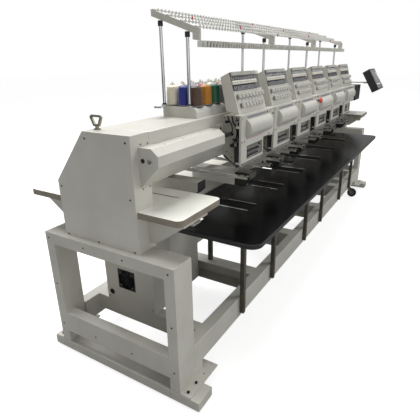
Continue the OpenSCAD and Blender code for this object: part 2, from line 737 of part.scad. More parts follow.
// Front plate with the needle window, its guides and the carrier box on the rods.
module case_fronts() color("#dddbd2") each_head() {
    difference() {
        union() {
            block([case_left, case_front, leg_bottom], [leg_right, case_front + plate_t, case_top]);
            block([leg_right, case_front, step_z], [plate_right, case_front + plate_t, case_top]);
            for (z = [leg_bottom + 8, case_top - 62])
                block([case_left, case_front + plate_t, z], [leg_right, block_front - touch, z + 10]);
            block([case_left, case_front, case_top], [plate_right, rod_y + 7, tension_foot[1]]);
            for (x = [-113, 113]) block([case_shift + x - 4, case_front + plate_t, take_up_z - 6],
                [case_shift + x + 4, take_up_y + 5, take_up_z + 6]);
        }
        block([case_shift - window[0], case_front - through, window[1]],
            [case_shift + window[0], case_front + plate_t + through, window[2]]);
        block([case_shift - 108, case_front - through, bump[2] + 14],
            [case_shift + 108, case_front + plate_t + through, bump[3] - 12]);
        for (i = [1:needles]) translate([needle_x(i), needle_y, leg_bottom])
            cylinder(r = bar_r + run_gap, h = case_top - leg_bottom - 20, $fn = 24);
        rod_x([case_shift - 130, take_up_y, take_up_z], take_up_r + run_gap, 260);
        if ($head == 0) button_hole(stop_at, button_r, button_press);
    }
    difference() {
        block([plate_right, case_front + 2, step_z - 8], [carrier_right, arm_front - touch, tension_foot[1]]);
        for (z = rod_z) rod_x([plate_right - through, rod_y, z], rod_r, carrier_right - plate_right + 2 * through);
        if ($head == 0 || $head == 4) button_hole(start_at, button_r, button_press);
        if ($head == 2) button_hole(emergency_at, stem_r, stop_press);
    }
    if ($head == 2) difference() {
        rod_y(emergency_at - [0, stop_collar, 0], 2 * stem_r, stop_collar);
        rod_y(emergency_at - [0, stop_collar + through, 0], stem_r + run_gap, stop_collar + 2 * through);
    }
}

// Blind hole for a button that is pressed by the given depth.
module button_hole(p, r, press) rod_y(p - [0, through, 0], r + run_gap, 2 * press + 2 * through);

// Convex guard over the take-up levers.
module bump_covers() color("#dedcd3") each_head() difference() {
    intersection() {
        rod_x([bump[0], case_front - bump_out + bump_r, take_up_z], bump_r, bump[1] - bump[0]);
        block([bump[0], case_front - bump_out - through, bump[2]], [bump[1], case_front, bump[3]]);
    }
    intersection() {
        rod_x([bump[0] + bump_wall, case_front - bump_out + bump_r, take_up_z], bump_r - bump_wall,
            bump[1] - bump[0] - 2 * bump_wall);
        block([bump[0], case_front - bump_out, bump[2] + bump_wall],
            [bump[1], case_front + through, bump[3] - bump_wall]);
    }
}

module needle_bar() {
    translate([0, needle_y, leg_bottom]) cylinder(r = bar_r, h = case_top - leg_bottom - 8, $fn = 24);
    translate([0, needle_y, leg_bottom - 10]) cylinder(r = 4.5, h = 10, $fn = 24);
    translate([0, needle_y, needle_tip_z + 4]) cylinder(r = 0.8, h = leg_bottom - 14 - needle_tip_z, $fn = 16);
    translate([0, needle_y, needle_tip_z]) cylinder(r1 = 0.3, r2 = 0.8, h = 4, $fn = 16);
}

module needle_bars() color("#b4b6b9") each_head() for (i = [1:needles])
    if (i != active_needle) translate([needle_x(i), 0, 0]) needle_bar();

module active_needle_bars() color("#c2c4c7") each_head() needle_bar();

module case_rods() color("#a4a6a9") machine() for (z = rod_z)
    rod_x([station(0) + case_left, rod_y, z], rod_r, rod_right - station(0) - case_left);

module presser_feet() color("#b4b6b9") each_head() {
    translate([0, presser_y, foot_z]) cylinder(r = presser_r, h = 110, $fn = 32);
    difference() {
        union() {
            block([-4, needle_y, foot_z], [4, presser_y, foot_z + 3]);
            translate([0, needle_y, foot_z]) cylinder(r = 8, h = 3, $fn = 32);
        }
        translate([0, needle_y, foot_z - through]) cylinder(r = 2.6, h = 3 + 2 * through, $fn = 24);
    }
}

module take_up_levers() color("#bfc1c4") each_head() {
    rod_x([case_shift - 119, take_up_y, take_up_z], take_up_r, 238);
    difference() {
        union() {
            block([needle_pitch / 2 - 1, 44, take_up_z - 3], [needle_pitch / 2 + 1, take_up_y, take_up_z + 3]);
            rod_x([needle_pitch / 2 - 1, 44, take_up_z], 5, 2);
        }
        rod_x([needle_pitch / 2 - 2, 43, take_up_z], 1.5, 4);
    }
}

// Push button in front of the carrier box or the front plate.
module push_button(i, p) machine() translate([station(i), 0, 0])
    rod_y(p - [0, button_out, 0], button_r, button_out + button_press);

module start_button_one() color("#1f7a4a") push_button(0, start_at);

module start_button_five() color("#1f7a4a") push_button(4, start_at);

module stop_button() color("#c8282c") push_button(0, stop_at);

module emergency_stop() color("#e8542a") machine() translate([station(2), -stop_stem, 0] + emergency_at) {
    rod_y([0, 0, 0], stem_r, stop_stem + stop_press);
    rotate([90, 0, 0]) cylinder(r1 = 15, r2 = 21, h = 12, $fn = 48);
    translate([0, -12, 0]) rotate([90, 0, 0]) cylinder(r1 = 21, r2 = 17, h = 6, $fn = 48);
}

module y_carriage() color("#a7a9ac") machine() {
    block([-drive_x - drive_w, carriage_y, sash_z0 + 5], [drive_x + drive_w, carriage_y + 24, sash_z0 + 25]);
    for (x = [-drive_x, 0, drive_x])
        block([x - 25, carriage_y, drive_top + touch], [x + 25, carriage_y + 60, sash_z0 + 5]);
}

// Hollow sash bar across all the heads.
module sash_frame() color("#c9cbce") machine() difference() {
    block([-drive_x, sash_y - sash_w, sash_z0], [drive_x, sash_y, sash_z0 + sash_w]);
    block([-drive_x - through, sash_y - sash_w + 3, sash_z0 + 3],
        [drive_x + through, sash_y - 3, sash_z0 + sash_w - 3]);
}

// Pair of flat arms under the sash bar at each head, drilled for the hoop clips.
module hoop_arms() color("#d2d3d5") machine() for (i = [0:heads - 1], s = [-1, 1])
    translate([station(i) + s * hoop_x, 0, 0]) difference() {
        block([-hoop_w / 2, hoop_front, hoop_z0], [hoop_w / 2, sash_y, sash_z0]);
        for (y = [12, 52]) translate([0, hoop_front + y, hoop_z0 - through])
            cylinder(r = 2.6, h = hoop_h + 2 * through, $fn = 24);
    }

module table_top() color("#26262a") machine() translate([0, 0, table_top_z - table_t]) linear_extrude(table_t)
    difference() {
        union() {
            translate([-table_half, table_front + 60]) square([table_len, table_back - table_front - 60]);
            translate([-table_half + 60, table_front]) square([table_len - 120, 60]);
            for (s = [-1, 1]) translate([s * (table_half - 60), table_front + 60]) circle(r = 60, $fn = 64);
        }
        for (i = [0:heads - 1]) translate([station(i) - slot_w / 2, bed_front - slot_gap])
            square([slot_w, table_back]);
        for (x = [-drive_x, 0, drive_x]) translate([x - drive_slot / 2, drive_y0 - slot_gap])
            square([drive_slot, table_back]);
    }

// Sliding legs of the table and the steel strips beside its slots.
module table_fittings() color("#a8a69c") {
    at_sleeves() {
        block([-leg_w / 2, -leg_w / 2, beam_z0 + 33], [leg_w / 2, leg_w / 2, table_top_z - table_t]);
        block([-leg_w / 2, -leg_w / 2, beam_z1 + 7], [leg_w / 2, leg_w / 2, table_top_z - table_t]);
    }
    each_head() for (s = [-1, 1]) block([s * slot_w / 2 + (s > 0 ? 2 : -14), bed_front, table_top_z],
        [s * slot_w / 2 + (s > 0 ? 14 : -2), 235, table_top_z + 2]);
}

// Arm of the control panel, turning on the bridge.
module panel_arm() color("#b9b7ae") machine() {
    translate([arm_pivot[0], arm_pivot[1], arm_z]) cylinder(r = 22, h = 24, $fn = 48);
    block([arm_pivot[0] - 15, 40, arm_z + 6], [arm_pivot[0] + 15, arm_pivot[1], arm_z + 16]);
    block([arm_pivot[0] - 15, 8, arm_z], [arm_pivot[0] + 15, 40, arm_z + 16]);
    difference() {
        union() {
            rod_x([arm_pivot[0] - 15, panel_pivot[0] + 20, panel_pivot[1]], 9, 30);
            block([arm_pivot[0] - 15, panel_pivot[0] + 20, panel_pivot[1] - 6],
                [arm_pivot[0] + 15, 12, panel_pivot[1] + 6]);
        }
        rod_x([arm_pivot[0] - 20, panel_pivot[0] + 20, panel_pivot[1]], 4 + run_gap, 40);
    }
}

module panel_case() color("#2c2c30") machine() {
    translate([panel_x, panel_pivot[0], panel_pivot[1]]) rotate([-panel_tilt, 0, 0])
        block([-panel_w / 2, -panel_t, -panel_h / 2 + 6], [panel_w / 2, 0, panel_h / 2 + 6]);
    rod_x([arm_pivot[0] - 24, panel_pivot[0] + 20, panel_pivot[1]], 4, 48);
    for (s = [-1, 1]) translate([arm_pivot[0] + s * 20, panel_pivot[0], panel_pivot[1]])
        hull() {
            rod_x([-4, 20, 0], 8, 8);
            rotate([-panel_tilt, 0, 0]) translate([-4, -3, -10]) cube([8, 3, 24]);
        }
}

// Swivel fork, its wheel trailing toward -Y, or toward +Y when dir is 1.
module fork(y, dir) machine() translate([caster_x, y, 0]) mirror([0, dir, 0]) difference() {
    union() {
        translate([0, 0, beam_z0 - 10]) cylinder(r = 30, h = 10 - touch, $fn = 48);
        for (s = [-1, 1]) along_x(s * 22 - 2.5, s * 22 + 2.5) polygon([[14, beam_z0 - 10], [-28, beam_z0 - 10],
            [-trail - 12, wheel_z], [-trail, wheel_z - 11], [-trail + 12, wheel_z]]);
    }
    rod_x([-40, -trail, wheel_z], 5 + run_gap, 80);
}

module wheel(y, dir) machine() translate([caster_x, y + (dir ? trail : -trail), wheel_z]) {
    rotate([0, 90, 0]) rotate_extrude($fn = 96) translate([5, -15]) square([wheel_r - 5, 30]);
    rod_x([-26, 0, 0], 5, 52);
}

module caster_fork_front() color("#3a3b3d") fork(caster_y[0], 0);

module caster_wheel_front() color("#1d1d1f") wheel(caster_y[0], 0);

module caster_fork_rear() color("#3a3b3d") fork(caster_y[1], 1);

module caster_wheel_rear() color("#1d1d1f") wheel(caster_y[1], 1);

module key_switch() color("#b9bbbe") left_end() {
    rod_x([70, 149, 1141], 10, 24);
    block([62, 146, 1137], [70, 152, 1145]);
}

base_rails();
levelling_pads();
end_stands();
floor_frame();
frame_screws();
bed_support();
cylinder_beds();
bed_noses();
needle_plates();
bridge_frame();
end_covers();
lifting_eyes();
shaft_housings();
arm_castings();
wing_tables();
wing_brackets();
electrical_box();
fan_frame();
y_drive_housings();
thread_deck();
rack_posts();
rack_brackets();
guide_bars();
thread_cones();
table_sleeves();
main_motor();
color_change_box();
main_shaft();
hook_one();
hook_two();
hook_three();
hook_four();
hook_five();
hook_six();
tension_cases();
tension_knobs();
case_fronts();
bump_covers();
needle_bars();
case_rods();
active_needle_bars();
presser_feet();
take_up_levers();
start_button_one();
start_button_five();
stop_button();
emergency_stop();
y_carriage();
sash_frame();
hoop_arms();
table_top();
table_fittings();
panel_arm();
panel_case();
caster_fork_front();
caster_wheel_front();
caster_fork_rear();
caster_wheel_rear();
fan_rotor();
key_switch();
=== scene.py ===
import json
import math

import bmesh
import bpy
from mathutils import Matrix, Vector


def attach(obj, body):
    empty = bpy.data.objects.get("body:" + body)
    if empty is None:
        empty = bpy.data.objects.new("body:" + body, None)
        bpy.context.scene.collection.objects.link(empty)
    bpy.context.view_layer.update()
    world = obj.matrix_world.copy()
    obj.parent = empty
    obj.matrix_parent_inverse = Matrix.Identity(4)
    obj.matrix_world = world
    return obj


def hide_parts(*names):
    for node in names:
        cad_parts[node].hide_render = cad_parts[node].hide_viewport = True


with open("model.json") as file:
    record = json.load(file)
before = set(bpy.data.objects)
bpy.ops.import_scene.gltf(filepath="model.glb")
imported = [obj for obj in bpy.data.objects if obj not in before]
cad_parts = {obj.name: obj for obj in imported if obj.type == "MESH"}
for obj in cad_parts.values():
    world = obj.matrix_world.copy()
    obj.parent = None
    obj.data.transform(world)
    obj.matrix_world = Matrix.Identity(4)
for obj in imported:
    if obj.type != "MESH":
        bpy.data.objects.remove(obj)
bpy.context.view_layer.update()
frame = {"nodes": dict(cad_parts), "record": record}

machine = {"heads": 6, "pitch": 450, "legFrontToMiddle": 357.5, "halfLength": 1970,
           "needles": 15, "needlePitch": 14.4, "workingNeedle": 5}


def at(x, y, z):
    # x from the middle, y from the legs' front face, z from the floor, all in mm
    return Vector((x / 1000, (y - machine["legFrontToMiddle"]) / 1000, z / 1000))


def stations():
    return [(i - (machine["heads"] - 1) / 2) * machine["pitch"] for i in range(machine["heads"])]


def needleXs():
    # the working needle stands on the head's middle line
    return [(i - machine["workingNeedle"]) * machine["needlePitch"] for i in range(1, machine["needles"] + 1)]


# materials
def linear(code):
    channels = [int(code[i:i + 2], 16) / 255 for i in (1, 3, 5)]
    return [c / 12.92 if c <= 0.04045 else ((c + 0.055) / 1.055) ** 2.4 for c in channels] + [1.0]


def addNode(tree, kind, inputs=None, links=None, **settings):
    node = tree.nodes.new(kind)
    for name, value in settings.items():
        setattr(node, name, value)
    for name, value in (inputs or {}).items():
        node.inputs[name].default_value = value
    for name, source in (links or {}).items():
        tree.links.new(source, node.inputs[name])
    return node


def makeMaterial(name, look):
    # mottle: slow change of colour. grain: fine texture in the roughness and the bump.
    material = bpy.data.materials.new(name)
    material.use_nodes = True
    tree = material.node_tree
    shader = tree.nodes["Principled BSDF"]
    shader.inputs["Metallic"].default_value = look.get("metallic", 0.0)
    if "ior" in look:
        shader.inputs["IOR"].default_value = look["ior"]
    if "coat" in look:
        shader.inputs["Coat Weight"].default_value = look["coat"]
        shader.inputs["Coat Roughness"].default_value = look.get("coatRoughness", 0.1)
    place = addNode(tree, "ShaderNodeTexCoord")
    turned = addNode(tree, "ShaderNodeMapping", {"Scale": look.get("stretch", (1, 1, 1))},
                     {"Vector": place.outputs["Object"]})
    mottle = addNode(tree, "ShaderNodeTexNoise", {"Scale": 1000 / look["mottleMm"], "Detail": 3.0},
                     {"Vector": place.outputs["Object"]})
    grain = addNode(tree, "ShaderNodeTexNoise", {"Scale": 1000 / look["grainMm"], "Detail": 2.0},
                    {"Vector": turned.outputs["Vector"]})
    colour = addNode(tree, "ShaderNodeValToRGB", links={"Fac": mottle.outputs["Fac"]})
    colour.color_ramp.elements[0].position = 0.35
    colour.color_ramp.elements[0].color = linear(look["shade"])
    colour.color_ramp.elements[1].position = 0.62
    colour.color_ramp.elements[1].color = linear(look["colour"])
    rough = addNode(tree, "ShaderNodeMapRange",
                    {"To Min": look["roughness"][0], "To Max": look["roughness"][1]},
                    {"Value": grain.outputs["Fac"]})
    bump = addNode(tree, "ShaderNodeBump",
                   {"Strength": look["bump"], "Distance": look.get("bumpMm", 0.1) / 1000},
                   {"Height": grain.outputs["Fac"]})
    tree.links.new(colour.outputs["Color"], shader.inputs["Base Color"])
    tree.links.new(rough.outputs["Result"], shader.inputs["Roughness"])
    tree.links.new(bump.outputs["Normal"], shader.inputs["Normal"])
    return material


looks = {
    # powder coat on sheet steel: even pale grey-beige with a soft orange peel
    "powderCoatGrey": {"colour": "#c9c7be", "shade": "#c0beb5", "roughness": (0.34, 0.5), "mottleMm": 180,
                       "grainMm": 3.2, "bump": 0.22, "bumpMm": 0.25},
    # smoother sprayed enamel on the bridge, heads and covers
    "sprayedEnamel": {"colour": "#cfcdc4", "shade": "#c7c5bc", "roughness": (0.26, 0.4), "mottleMm": 220,
                      "grainMm": 4.0, "bump": 0.12, "bumpMm": 0.2, "coat": 0.25, "coatRoughness": 0.22},
    "enamelOnCasting": {"colour": "#c9c6bb", "shade": "#bdb9ad", "roughness": (0.32, 0.5), "mottleMm": 60,
                        "grainMm": 2.6, "bump": 0.35, "bumpMm": 0.3},
    "whiteEnamel": {"colour": "#e0e0db", "shade": "#d6d5cf", "roughness": (0.2, 0.34), "mottleMm": 240,
                    "grainMm": 4.0, "bump": 0.08, "bumpMm": 0.15, "coat": 0.4, "coatRoughness": 0.12},
    # melamine on particle board with a pressed satin texture
    "whiteMelamine": {"colour": "#f0efe7", "shade": "#e8e7de", "roughness": (0.28, 0.42), "mottleMm": 150,
                      "grainMm": 1.6, "bump": 0.12, "bumpMm": 0.08, "coat": 0.2, "coatRoughness": 0.2},
    "beigeEdgeBand": {"colour": "#938b7d", "shade": "#857d6f", "roughness": (0.42, 0.6), "mottleMm": 60,
                      "grainMm": 1.2, "bump": 0.2, "bumpMm": 0.08},
    "blackMelamine": {"colour": "#08080a", "shade": "#050507", "roughness": (0.16, 0.26), "ior": 1.22,
                      "mottleMm": 200, "grainMm": 1.5, "bump": 0.06, "bumpMm": 0.04},
    "blackEdgeBand": {"colour": "#222225", "shade": "#19191b", "roughness": (0.4, 0.55), "mottleMm": 60,
                      "grainMm": 1.2, "bump": 0.2, "bumpMm": 0.08},
    "oliveEnamel": {"colour": "#242320", "shade": "#1c1b19", "roughness": (0.26, 0.42), "mottleMm": 40,
                    "grainMm": 2.0, "bump": 0.2, "bumpMm": 0.12, "coat": 0.2},
    "bedEnamel": {"colour": "#dedbd4", "shade": "#d2cfc7", "roughness": (0.28, 0.42), "mottleMm": 60,
                  "grainMm": 2.6, "bump": 0.2, "bumpMm": 0.15, "coat": 0.2},
    "polishedSteel": {"colour": "#f2f2f0", "shade": "#e6e6e4", "metallic": 0.6, "roughness": (0.12, 0.22),
                      "mottleMm": 60, "grainMm": 3.0, "stretch": (1.6, 0.12, 1.6), "bump": 0.04, "bumpMm": 0.04},
    "greyPost": {"colour": "#5f5b50", "shade": "#524f45", "metallic": 0.5, "roughness": (0.26, 0.4),
                 "mottleMm": 40, "grainMm": 3.0, "bump": 0.1, "bumpMm": 0.05},
    "blackEnamel": {"colour": "#1b1b1d", "shade": "#121214", "roughness": (0.3, 0.5), "mottleMm": 50,
                    "grainMm": 2.0, "bump": 0.25, "bumpMm": 0.15},
    "blackAbs": {"colour": "#242427", "shade": "#1b1b1e", "roughness": (0.4, 0.6), "mottleMm": 60,
                 "grainMm": 1.0, "bump": 0.35, "bumpMm": 0.08},
    "greyAbs": {"colour": "#77787a", "shade": "#6a6b6d", "roughness": (0.38, 0.55), "mottleMm": 50,
                "grainMm": 1.0, "bump": 0.3, "bumpMm": 0.08},
    "greyNylon": {"colour": "#cbcac2", "shade": "#bbbab1", "roughness": (0.28, 0.45), "mottleMm": 30,
                  "grainMm": 1.4, "bump": 0.12, "bumpMm": 0.08, "coat": 0.2},
    "ivoryNylon": {"colour": "#ebe8dc", "shade": "#dbd7c8", "roughness": (0.28, 0.45), "mottleMm": 30,
                   "grainMm": 1.4, "bump": 0.12, "bumpMm": 0.08, "coat": 0.2},
    "chromePlate": {"colour": "#d9dadc", "shade": "#c9cacd", "metallic": 1.0, "roughness": (0.06, 0.16),
                    "mottleMm": 90, "grainMm": 6.0, "bump": 0.03, "bumpMm": 0.05},
    "groundSteel": {"colour": "#b3b4b6", "shade": "#9c9da0", "metallic": 1.0, "roughness": (0.22, 0.4),
                    "mottleMm": 40, "grainMm": 3.0, "stretch": (0.12, 1.6, 1.6), "bump": 0.12, "bumpMm": 0.05},
    "satinAluminium": {"colour": "#c3c4c4", "shade": "#b2b3b4", "metallic": 1.0, "roughness": (0.28, 0.46),
                       "mottleMm": 60, "grainMm": 2.4, "stretch": (0.3, 1.0, 1.0), "bump": 0.15, "bumpMm": 0.06},
    "zincPlatedSteel": {"colour": "#9a9688", "shade": "#827e70", "metallic": 0.8, "roughness": (0.32, 0.5),
                        "mottleMm": 12, "grainMm": 3.0, "bump": 0.1, "bumpMm": 0.05},
    "blackenedSteel": {"colour": "#2b2b2c", "shade": "#1e1e20", "metallic": 0.9, "roughness": (0.3, 0.45),
                       "mottleMm": 10, "grainMm": 2.0, "bump": 0.1, "bumpMm": 0.05},
    "mouldedRubber": {"colour": "#1d1d1d", "shade": "#151515", "roughness": (0.6, 0.8), "mottleMm": 20,
                      "grainMm": 1.2, "bump": 0.4, "bumpMm": 0.1},
    "blackFelt": {"colour": "#232324", "shade": "#161617", "roughness": (0.85, 0.95), "mottleMm": 6,
                  "grainMm": 0.8, "bump": 0.7, "bumpMm": 0.3},
    "greenAcrylic": {"colour": "#12784a", "shade": "#0e6a40", "roughness": (0.12, 0.22), "mottleMm": 10,
                     "grainMm": 1.5, "bump": 0.05, "coat": 0.5},
    "redAcrylic": {"colour": "#c01d2a", "shade": "#ac1623", "roughness": (0.12, 0.22), "mottleMm": 10,
                   "grainMm": 1.5, "bump": 0.05, "coat": 0.5},
    "orangeRedPlastic": {"colour": "#e2472a", "shade": "#d13c20", "roughness": (0.2, 0.3), "mottleMm": 14,
                         "grainMm": 1.5, "bump": 0.08, "coat": 0.3},
    "rosePaint": {"colour": "#b4737e", "shade": "#a8666f", "roughness": (0.3, 0.4), "mottleMm": 20,
                  "grainMm": 2.0, "bump": 0.08},
    "greyFilm": {"colour": "#9b9c9e", "shade": "#838487", "roughness": (0.25, 0.35), "mottleMm": 9,
                 "grainMm": 2.0, "bump": 0.05},
    "screenGlass": {"colour": "#1a2530", "shade": "#121b24", "roughness": (0.05, 0.1), "mottleMm": 60,
                    "grainMm": 8.0, "bump": 0.01, "coat": 0.8, "coatRoughness": 0.04},
}
materials = {name: makeMaterial(name, look) for name, look in looks.items()}


def makeThread(name, colour, shade):
    # polyester thread cross-wound on a cone: fine helical ridges with a silky sheen, and painted shade that darkens
    # the grooves between the windings
    material = bpy.data.materials.new(name)
    material.use_nodes = True
    tree = material.node_tree
    shader = tree.nodes["Principled BSDF"]
    shader.inputs["Roughness"].default_value = 0.42
    shader.inputs["Sheen Weight"].default_value = 0.3
    shader.inputs["Sheen Roughness"].default_value = 0.4
    place = addNode(tree, "ShaderNodeTexCoord")
    tipped = addNode(tree, "ShaderNodeMapping", {"Rotation": (0.12, 0.0, 0.0)}, {"Vector": place.outputs["Object"]})
    # real thread is 0.25 mm thick, drawn here 1.6 mm so that the winding shows
    ridge = addNode(tree, "ShaderNodeTexWave", {"Scale": 1000 / (1.6 * 6.28), "Distortion": 0.6, "Detail": 1.0},
                    {"Vector": tipped.outputs["Vector"]}, wave_type="BANDS", bands_direction="Z")
    # painted shade: the colour goes to the darker value down in each groove, following the same bands as the bump
    paintedGrooveShade = addNode(tree, "ShaderNodeValToRGB", links={"Fac": ridge.outputs["Fac"]})
    paintedGrooveShade.color_ramp.elements[0].color = linear(shade)
    paintedGrooveShade.color_ramp.elements[1].color = linear(colour)
    bump = addNode(tree, "ShaderNodeBump", {"Strength": 0.5, "Distance": 0.0004}, {"Height": ridge.outputs["Fac"]})
    tree.links.new(paintedGrooveShade.outputs["Color"], shader.inputs["Base Color"])
    tree.links.new(bump.outputs["Normal"], shader.inputs["Normal"])
    return material


# each thread: its own colour, then the darker colour painted into the grooves as painted shade
threadColours = [("creamThread", "#e9e2cd", "#d3cab1"), ("royalBlueThread", "#1d2a8c", "#141d68"),
                 ("brownThread", "#5d4334", "#432e22"), ("slateBlueThread", "#4a6aa8", "#38528a"),
                 ("goldThread", "#d08a16", "#a96c0c"), ("greenThread", "#1f6a4c", "#144d36"),
                 ("greyThread", "#8f9193", "#737577"), ("redThread", "#a3232d", "#7d1720"),
                 ("navyThread", "#1b2450", "#121936"), ("whiteThread", "#efefec", "#d9d9d4")]
threads = {name: makeThread(name, colour, shade) for name, colour, shade in threadColours}
materials.update(threads)
print("materials ready", len(materials))


# mesh tools
def addBox(bm, low, high, bevel=0.0, segments=2, material=0, turn=None):
    low, high = Vector(low), Vector(high)
    made = bmesh.ops.create_cube(bm, size=1.0, matrix=Matrix.Translation((low + high) / 2) @ Matrix.Diagonal(
        (*(high - low), 1.0)))
    verts = made["verts"]
    edges = list({e for v in verts for e in v.link_edges})
    faces = list({f for v in verts for f in v.link_faces})
    if bevel:
        done = bmesh.ops.bevel(bm, geom=edges, offset=bevel, offset_type="OFFSET", segments=segments, profile=0.5,
                               affect="EDGES", material=-1)
        faces = list({f for v in done["verts"] for f in v.link_faces} | {f for f in faces if f.is_valid})
        verts = list({v for f in faces for v in f.verts})
    for f in faces:
        f.material_index = material
    if turn:
        bmesh.ops.transform(bm, matrix=turn, verts=verts)
    return faces


def addRod(bm, start, end, radius, sides=16, material=0, endRadius=None, turn=None):
    start, end = Vector(start), Vector(end)
    if turn:
        start, end = turn @ start, turn @ end
    along = end - start
    spin = Vector((0, 0, 1)).rotation_difference(along).to_matrix().to_4x4()
    made = bmesh.ops.create_cone(bm, cap_ends=True, segments=sides, radius1=radius,
                                 radius2=radius if endRadius is None else endRadius, depth=along.length,
                                 matrix=Matrix.Translation((start + end) / 2) @ spin)
    for f in {f for v in made["verts"] for f in v.link_faces}:
        f.material_index = material


def addLathe(bm, profile, place, steps=24, material=0):
    # profile: (radius, height) pairs about local Z, with a material index as an optional third value
    verts = [bm.verts.new((max(p[0], 0.0), 0, p[1])) for p in profile]
    edges = [bm.edges.new(pair) for pair in zip(verts, verts[1:])]
    made = bmesh.ops.spin(bm, geom=verts + edges, cent=(0, 0, 0), axis=(0, 0, 1), angle=math.tau, steps=steps,
                          use_merge=True, use_duplicate=False)
    faces = list({f for v in verts for f in v.link_faces} | {f for f in made["geom_last"]
                 if isinstance(f, bmesh.types.BMFace)})
    seen, todo = set(), list(faces)
    while todo:
        f = todo.pop()
        if f in seen:
            continue
        seen.add(f)
        todo += [g for e in f.edges for g in e.link_faces if g not in seen]
    every = list({v for f in seen for v in f.verts})
    bmesh.ops.remove_doubles(bm, verts=every, dist=1e-6)
    seen = [f for f in seen if f.is_valid]
    bmesh.ops.recalc_face_normals(bm, faces=seen)
    if len(profile[0]) > 2:
        for f in seen:
            height = f.calc_center_median().z
            best = min(profile, key=lambda p: abs(p[1] - height))
            f.material_index = best[2]
    else:
        for f in seen:
            f.material_index = material
    bmesh.ops.transform(bm, matrix=place, verts=list({v for f in seen for v in f.verts}))
    return seen


def addPrism(bm, outline, x0, x1, bevel=0.0, material=0):
    # outline: points (y, z) in mm from the legs' front face and the floor
    verts = [bm.verts.new(at(x0, y, z)) for y, z in outline]
    face = bm.faces.new(verts)
    made = bmesh.ops.extrude_face_region(bm, geom=[face])
    moved = [g for g in made["geom"] if isinstance(g, bmesh.types.BMVert)]
    bmesh.ops.translate(bm, verts=moved, vec=((x1 - x0) / 1000, 0, 0))
    faces = list({f for v in verts + moved for f in v.link_faces})
    bmesh.ops.recalc_face_normals(bm, faces=faces)
    if bevel:
        edges = list({e for f in faces for e in f.edges})
        done = bmesh.ops.bevel(bm, geom=edges, offset=bevel, offset_type="OFFSET", segments=2, profile=0.5,
                               affect="EDGES", material=-1)
        faces = list(set(done["faces"]) | {f for f in faces if f.is_valid})
    for f in faces:
        f.material_index = material


def addHose(bm, points, radius, material=0, sides=10):
    # a smooth hose through the points, made as a curve and joined in as a mesh
    curve = bpy.data.curves.new("hoseCurve", "CURVE")
    curve.dimensions = "3D"
    curve.bevel_depth = radius
    curve.bevel_resolution = max(1, sides // 4)
    curve.use_fill_caps = True
    curve.resolution_u = 6
    spline = curve.splines.new("BEZIER")
    spline.bezier_points.add(len(points) - 1)
    for knot, point in zip(spline.bezier_points, points):
        knot.co = point
        knot.handle_left_type = knot.handle_right_type = "AUTO"
    holder = bpy.data.objects.new("hoseHolder", curve)
    bpy.context.scene.collection.objects.link(holder)
    bpy.context.view_layer.update()
    mesh = bpy.data.meshes.new_from_object(holder.evaluated_get(bpy.context.evaluated_depsgraph_get()))
    before = set(bm.faces)
    bm.from_mesh(mesh)
    for f in set(bm.faces) - before:
        f.material_index = material
    bpy.data.objects.remove(holder)
    bpy.data.meshes.remove(mesh)
    bpy.data.curves.remove(curve)


def smoothByAngle(bm, degrees=32):
    limit = math.radians(degrees)
    for f in bm.faces:
        f.smooth = True
    for e in bm.edges:
        if len(e.link_faces) != 2 or e.calc_face_angle(0.0) > limit:
            e.smooth = False


def makePiece(bm, name, body, used, replaced=(), degrees=32):
    bm.normal_update()
    smoothByAngle(bm, degrees)
    mesh = bpy.data.meshes.new(name)
    bm.to_mesh(mesh)
    bm.free()
    for key in used:
        mesh.materials.append(materials[key])
    piece = bpy.data.objects.new(name, mesh)
    bpy.context.scene.collection.objects.link(piece)
    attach(piece, body)
    if replaced:
        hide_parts(*replaced)
    return piece


bodyOf = {node: body for body, nodes in frame["record"]["behaviour"]["bodies"].items() for node in nodes}


def softened(node, used, width=1.5, segments=2, pick=None, degrees=32, name=None):
    # the node's own shape with its sharp edges rounded by the given width in mm
    bm = bmesh.new()
    bm.from_mesh(frame["nodes"][node].data)
    for f in bm.faces:
        f.material_index = 0
    bmesh.ops.remove_doubles(bm, verts=bm.verts, dist=2e-6)
    bmesh.ops.dissolve_limit(bm, angle_limit=math.radians(1.0), verts=bm.verts, edges=bm.edges)
    bm.normal_update()
    if pick:
        for f in bm.faces:
            c = f.calc_center_median()
            f.material_index = pick((c.x * 1000, c.y * 1000 + machine["legFrontToMiddle"], c.z * 1000), f.normal)
    piece = makePiece(bm, name or node + "Finished", bodyOf[node], used, [node], degrees)
    if width:
        edge = piece.modifiers.new("edgeRounding", "BEVEL")
        edge.width = width / 1000
        edge.segments = segments
        edge.limit_method = "ANGLE"
        edge.angle_limit = math.radians(35)
        edge.use_clamp_overlap = True
        edge.harden_normals = False
    return piece


def dress(node, key):
    # the CAD node itself, with a finish
    mesh = frame["nodes"][node].data
    mesh.materials.clear()
    mesh.materials.append(materials[key])


# stands, beams and covers
softened("base_rails", ["powderCoatGrey"], 2.0)
softened("levelling_pads", ["mouldedRubber"], 1.0)
softened("end_stands", ["powderCoatGrey"], 4.0, 3)
softened("floor_frame", ["powderCoatGrey"], 3.0, 2)
softened("bed_support", ["powderCoatGrey"], 3.0, 2)
softened("bridge_frame", ["sprayedEnamel"], 4.0, 3)
softened("end_covers", ["sprayedEnamel"], 5.0, 3)
softened("shaft_housings", ["sprayedEnamel"], 1.4, 2)
softened("arm_castings", ["enamelOnCasting", "groundSteel"], 3.0, 2,
         lambda c, n: 1 if c[1] < 107.5 and c[2] > 965 else 0)
softened("wing_tables", ["whiteMelamine", "beigeEdgeBand"], 2.0, 2, lambda c, n: 1 if abs(n.z) < 0.5 else 0)
softened("wing_brackets", ["powderCoatGrey"], 0.8)
softened("electrical_box", ["powderCoatGrey"], 1.5)
softened("y_drive_housings", ["powderCoatGrey", "blackAbs"], 2.0, 2,
         lambda c, n: 1 if c[1] < 232 and abs(n.y) > 0.5 else 0)
softened("lifting_eyes", ["zincPlatedSteel"], 2.5, 3)
dress("frame_screws", "blackenedSteel")
print("frame and covers ready")

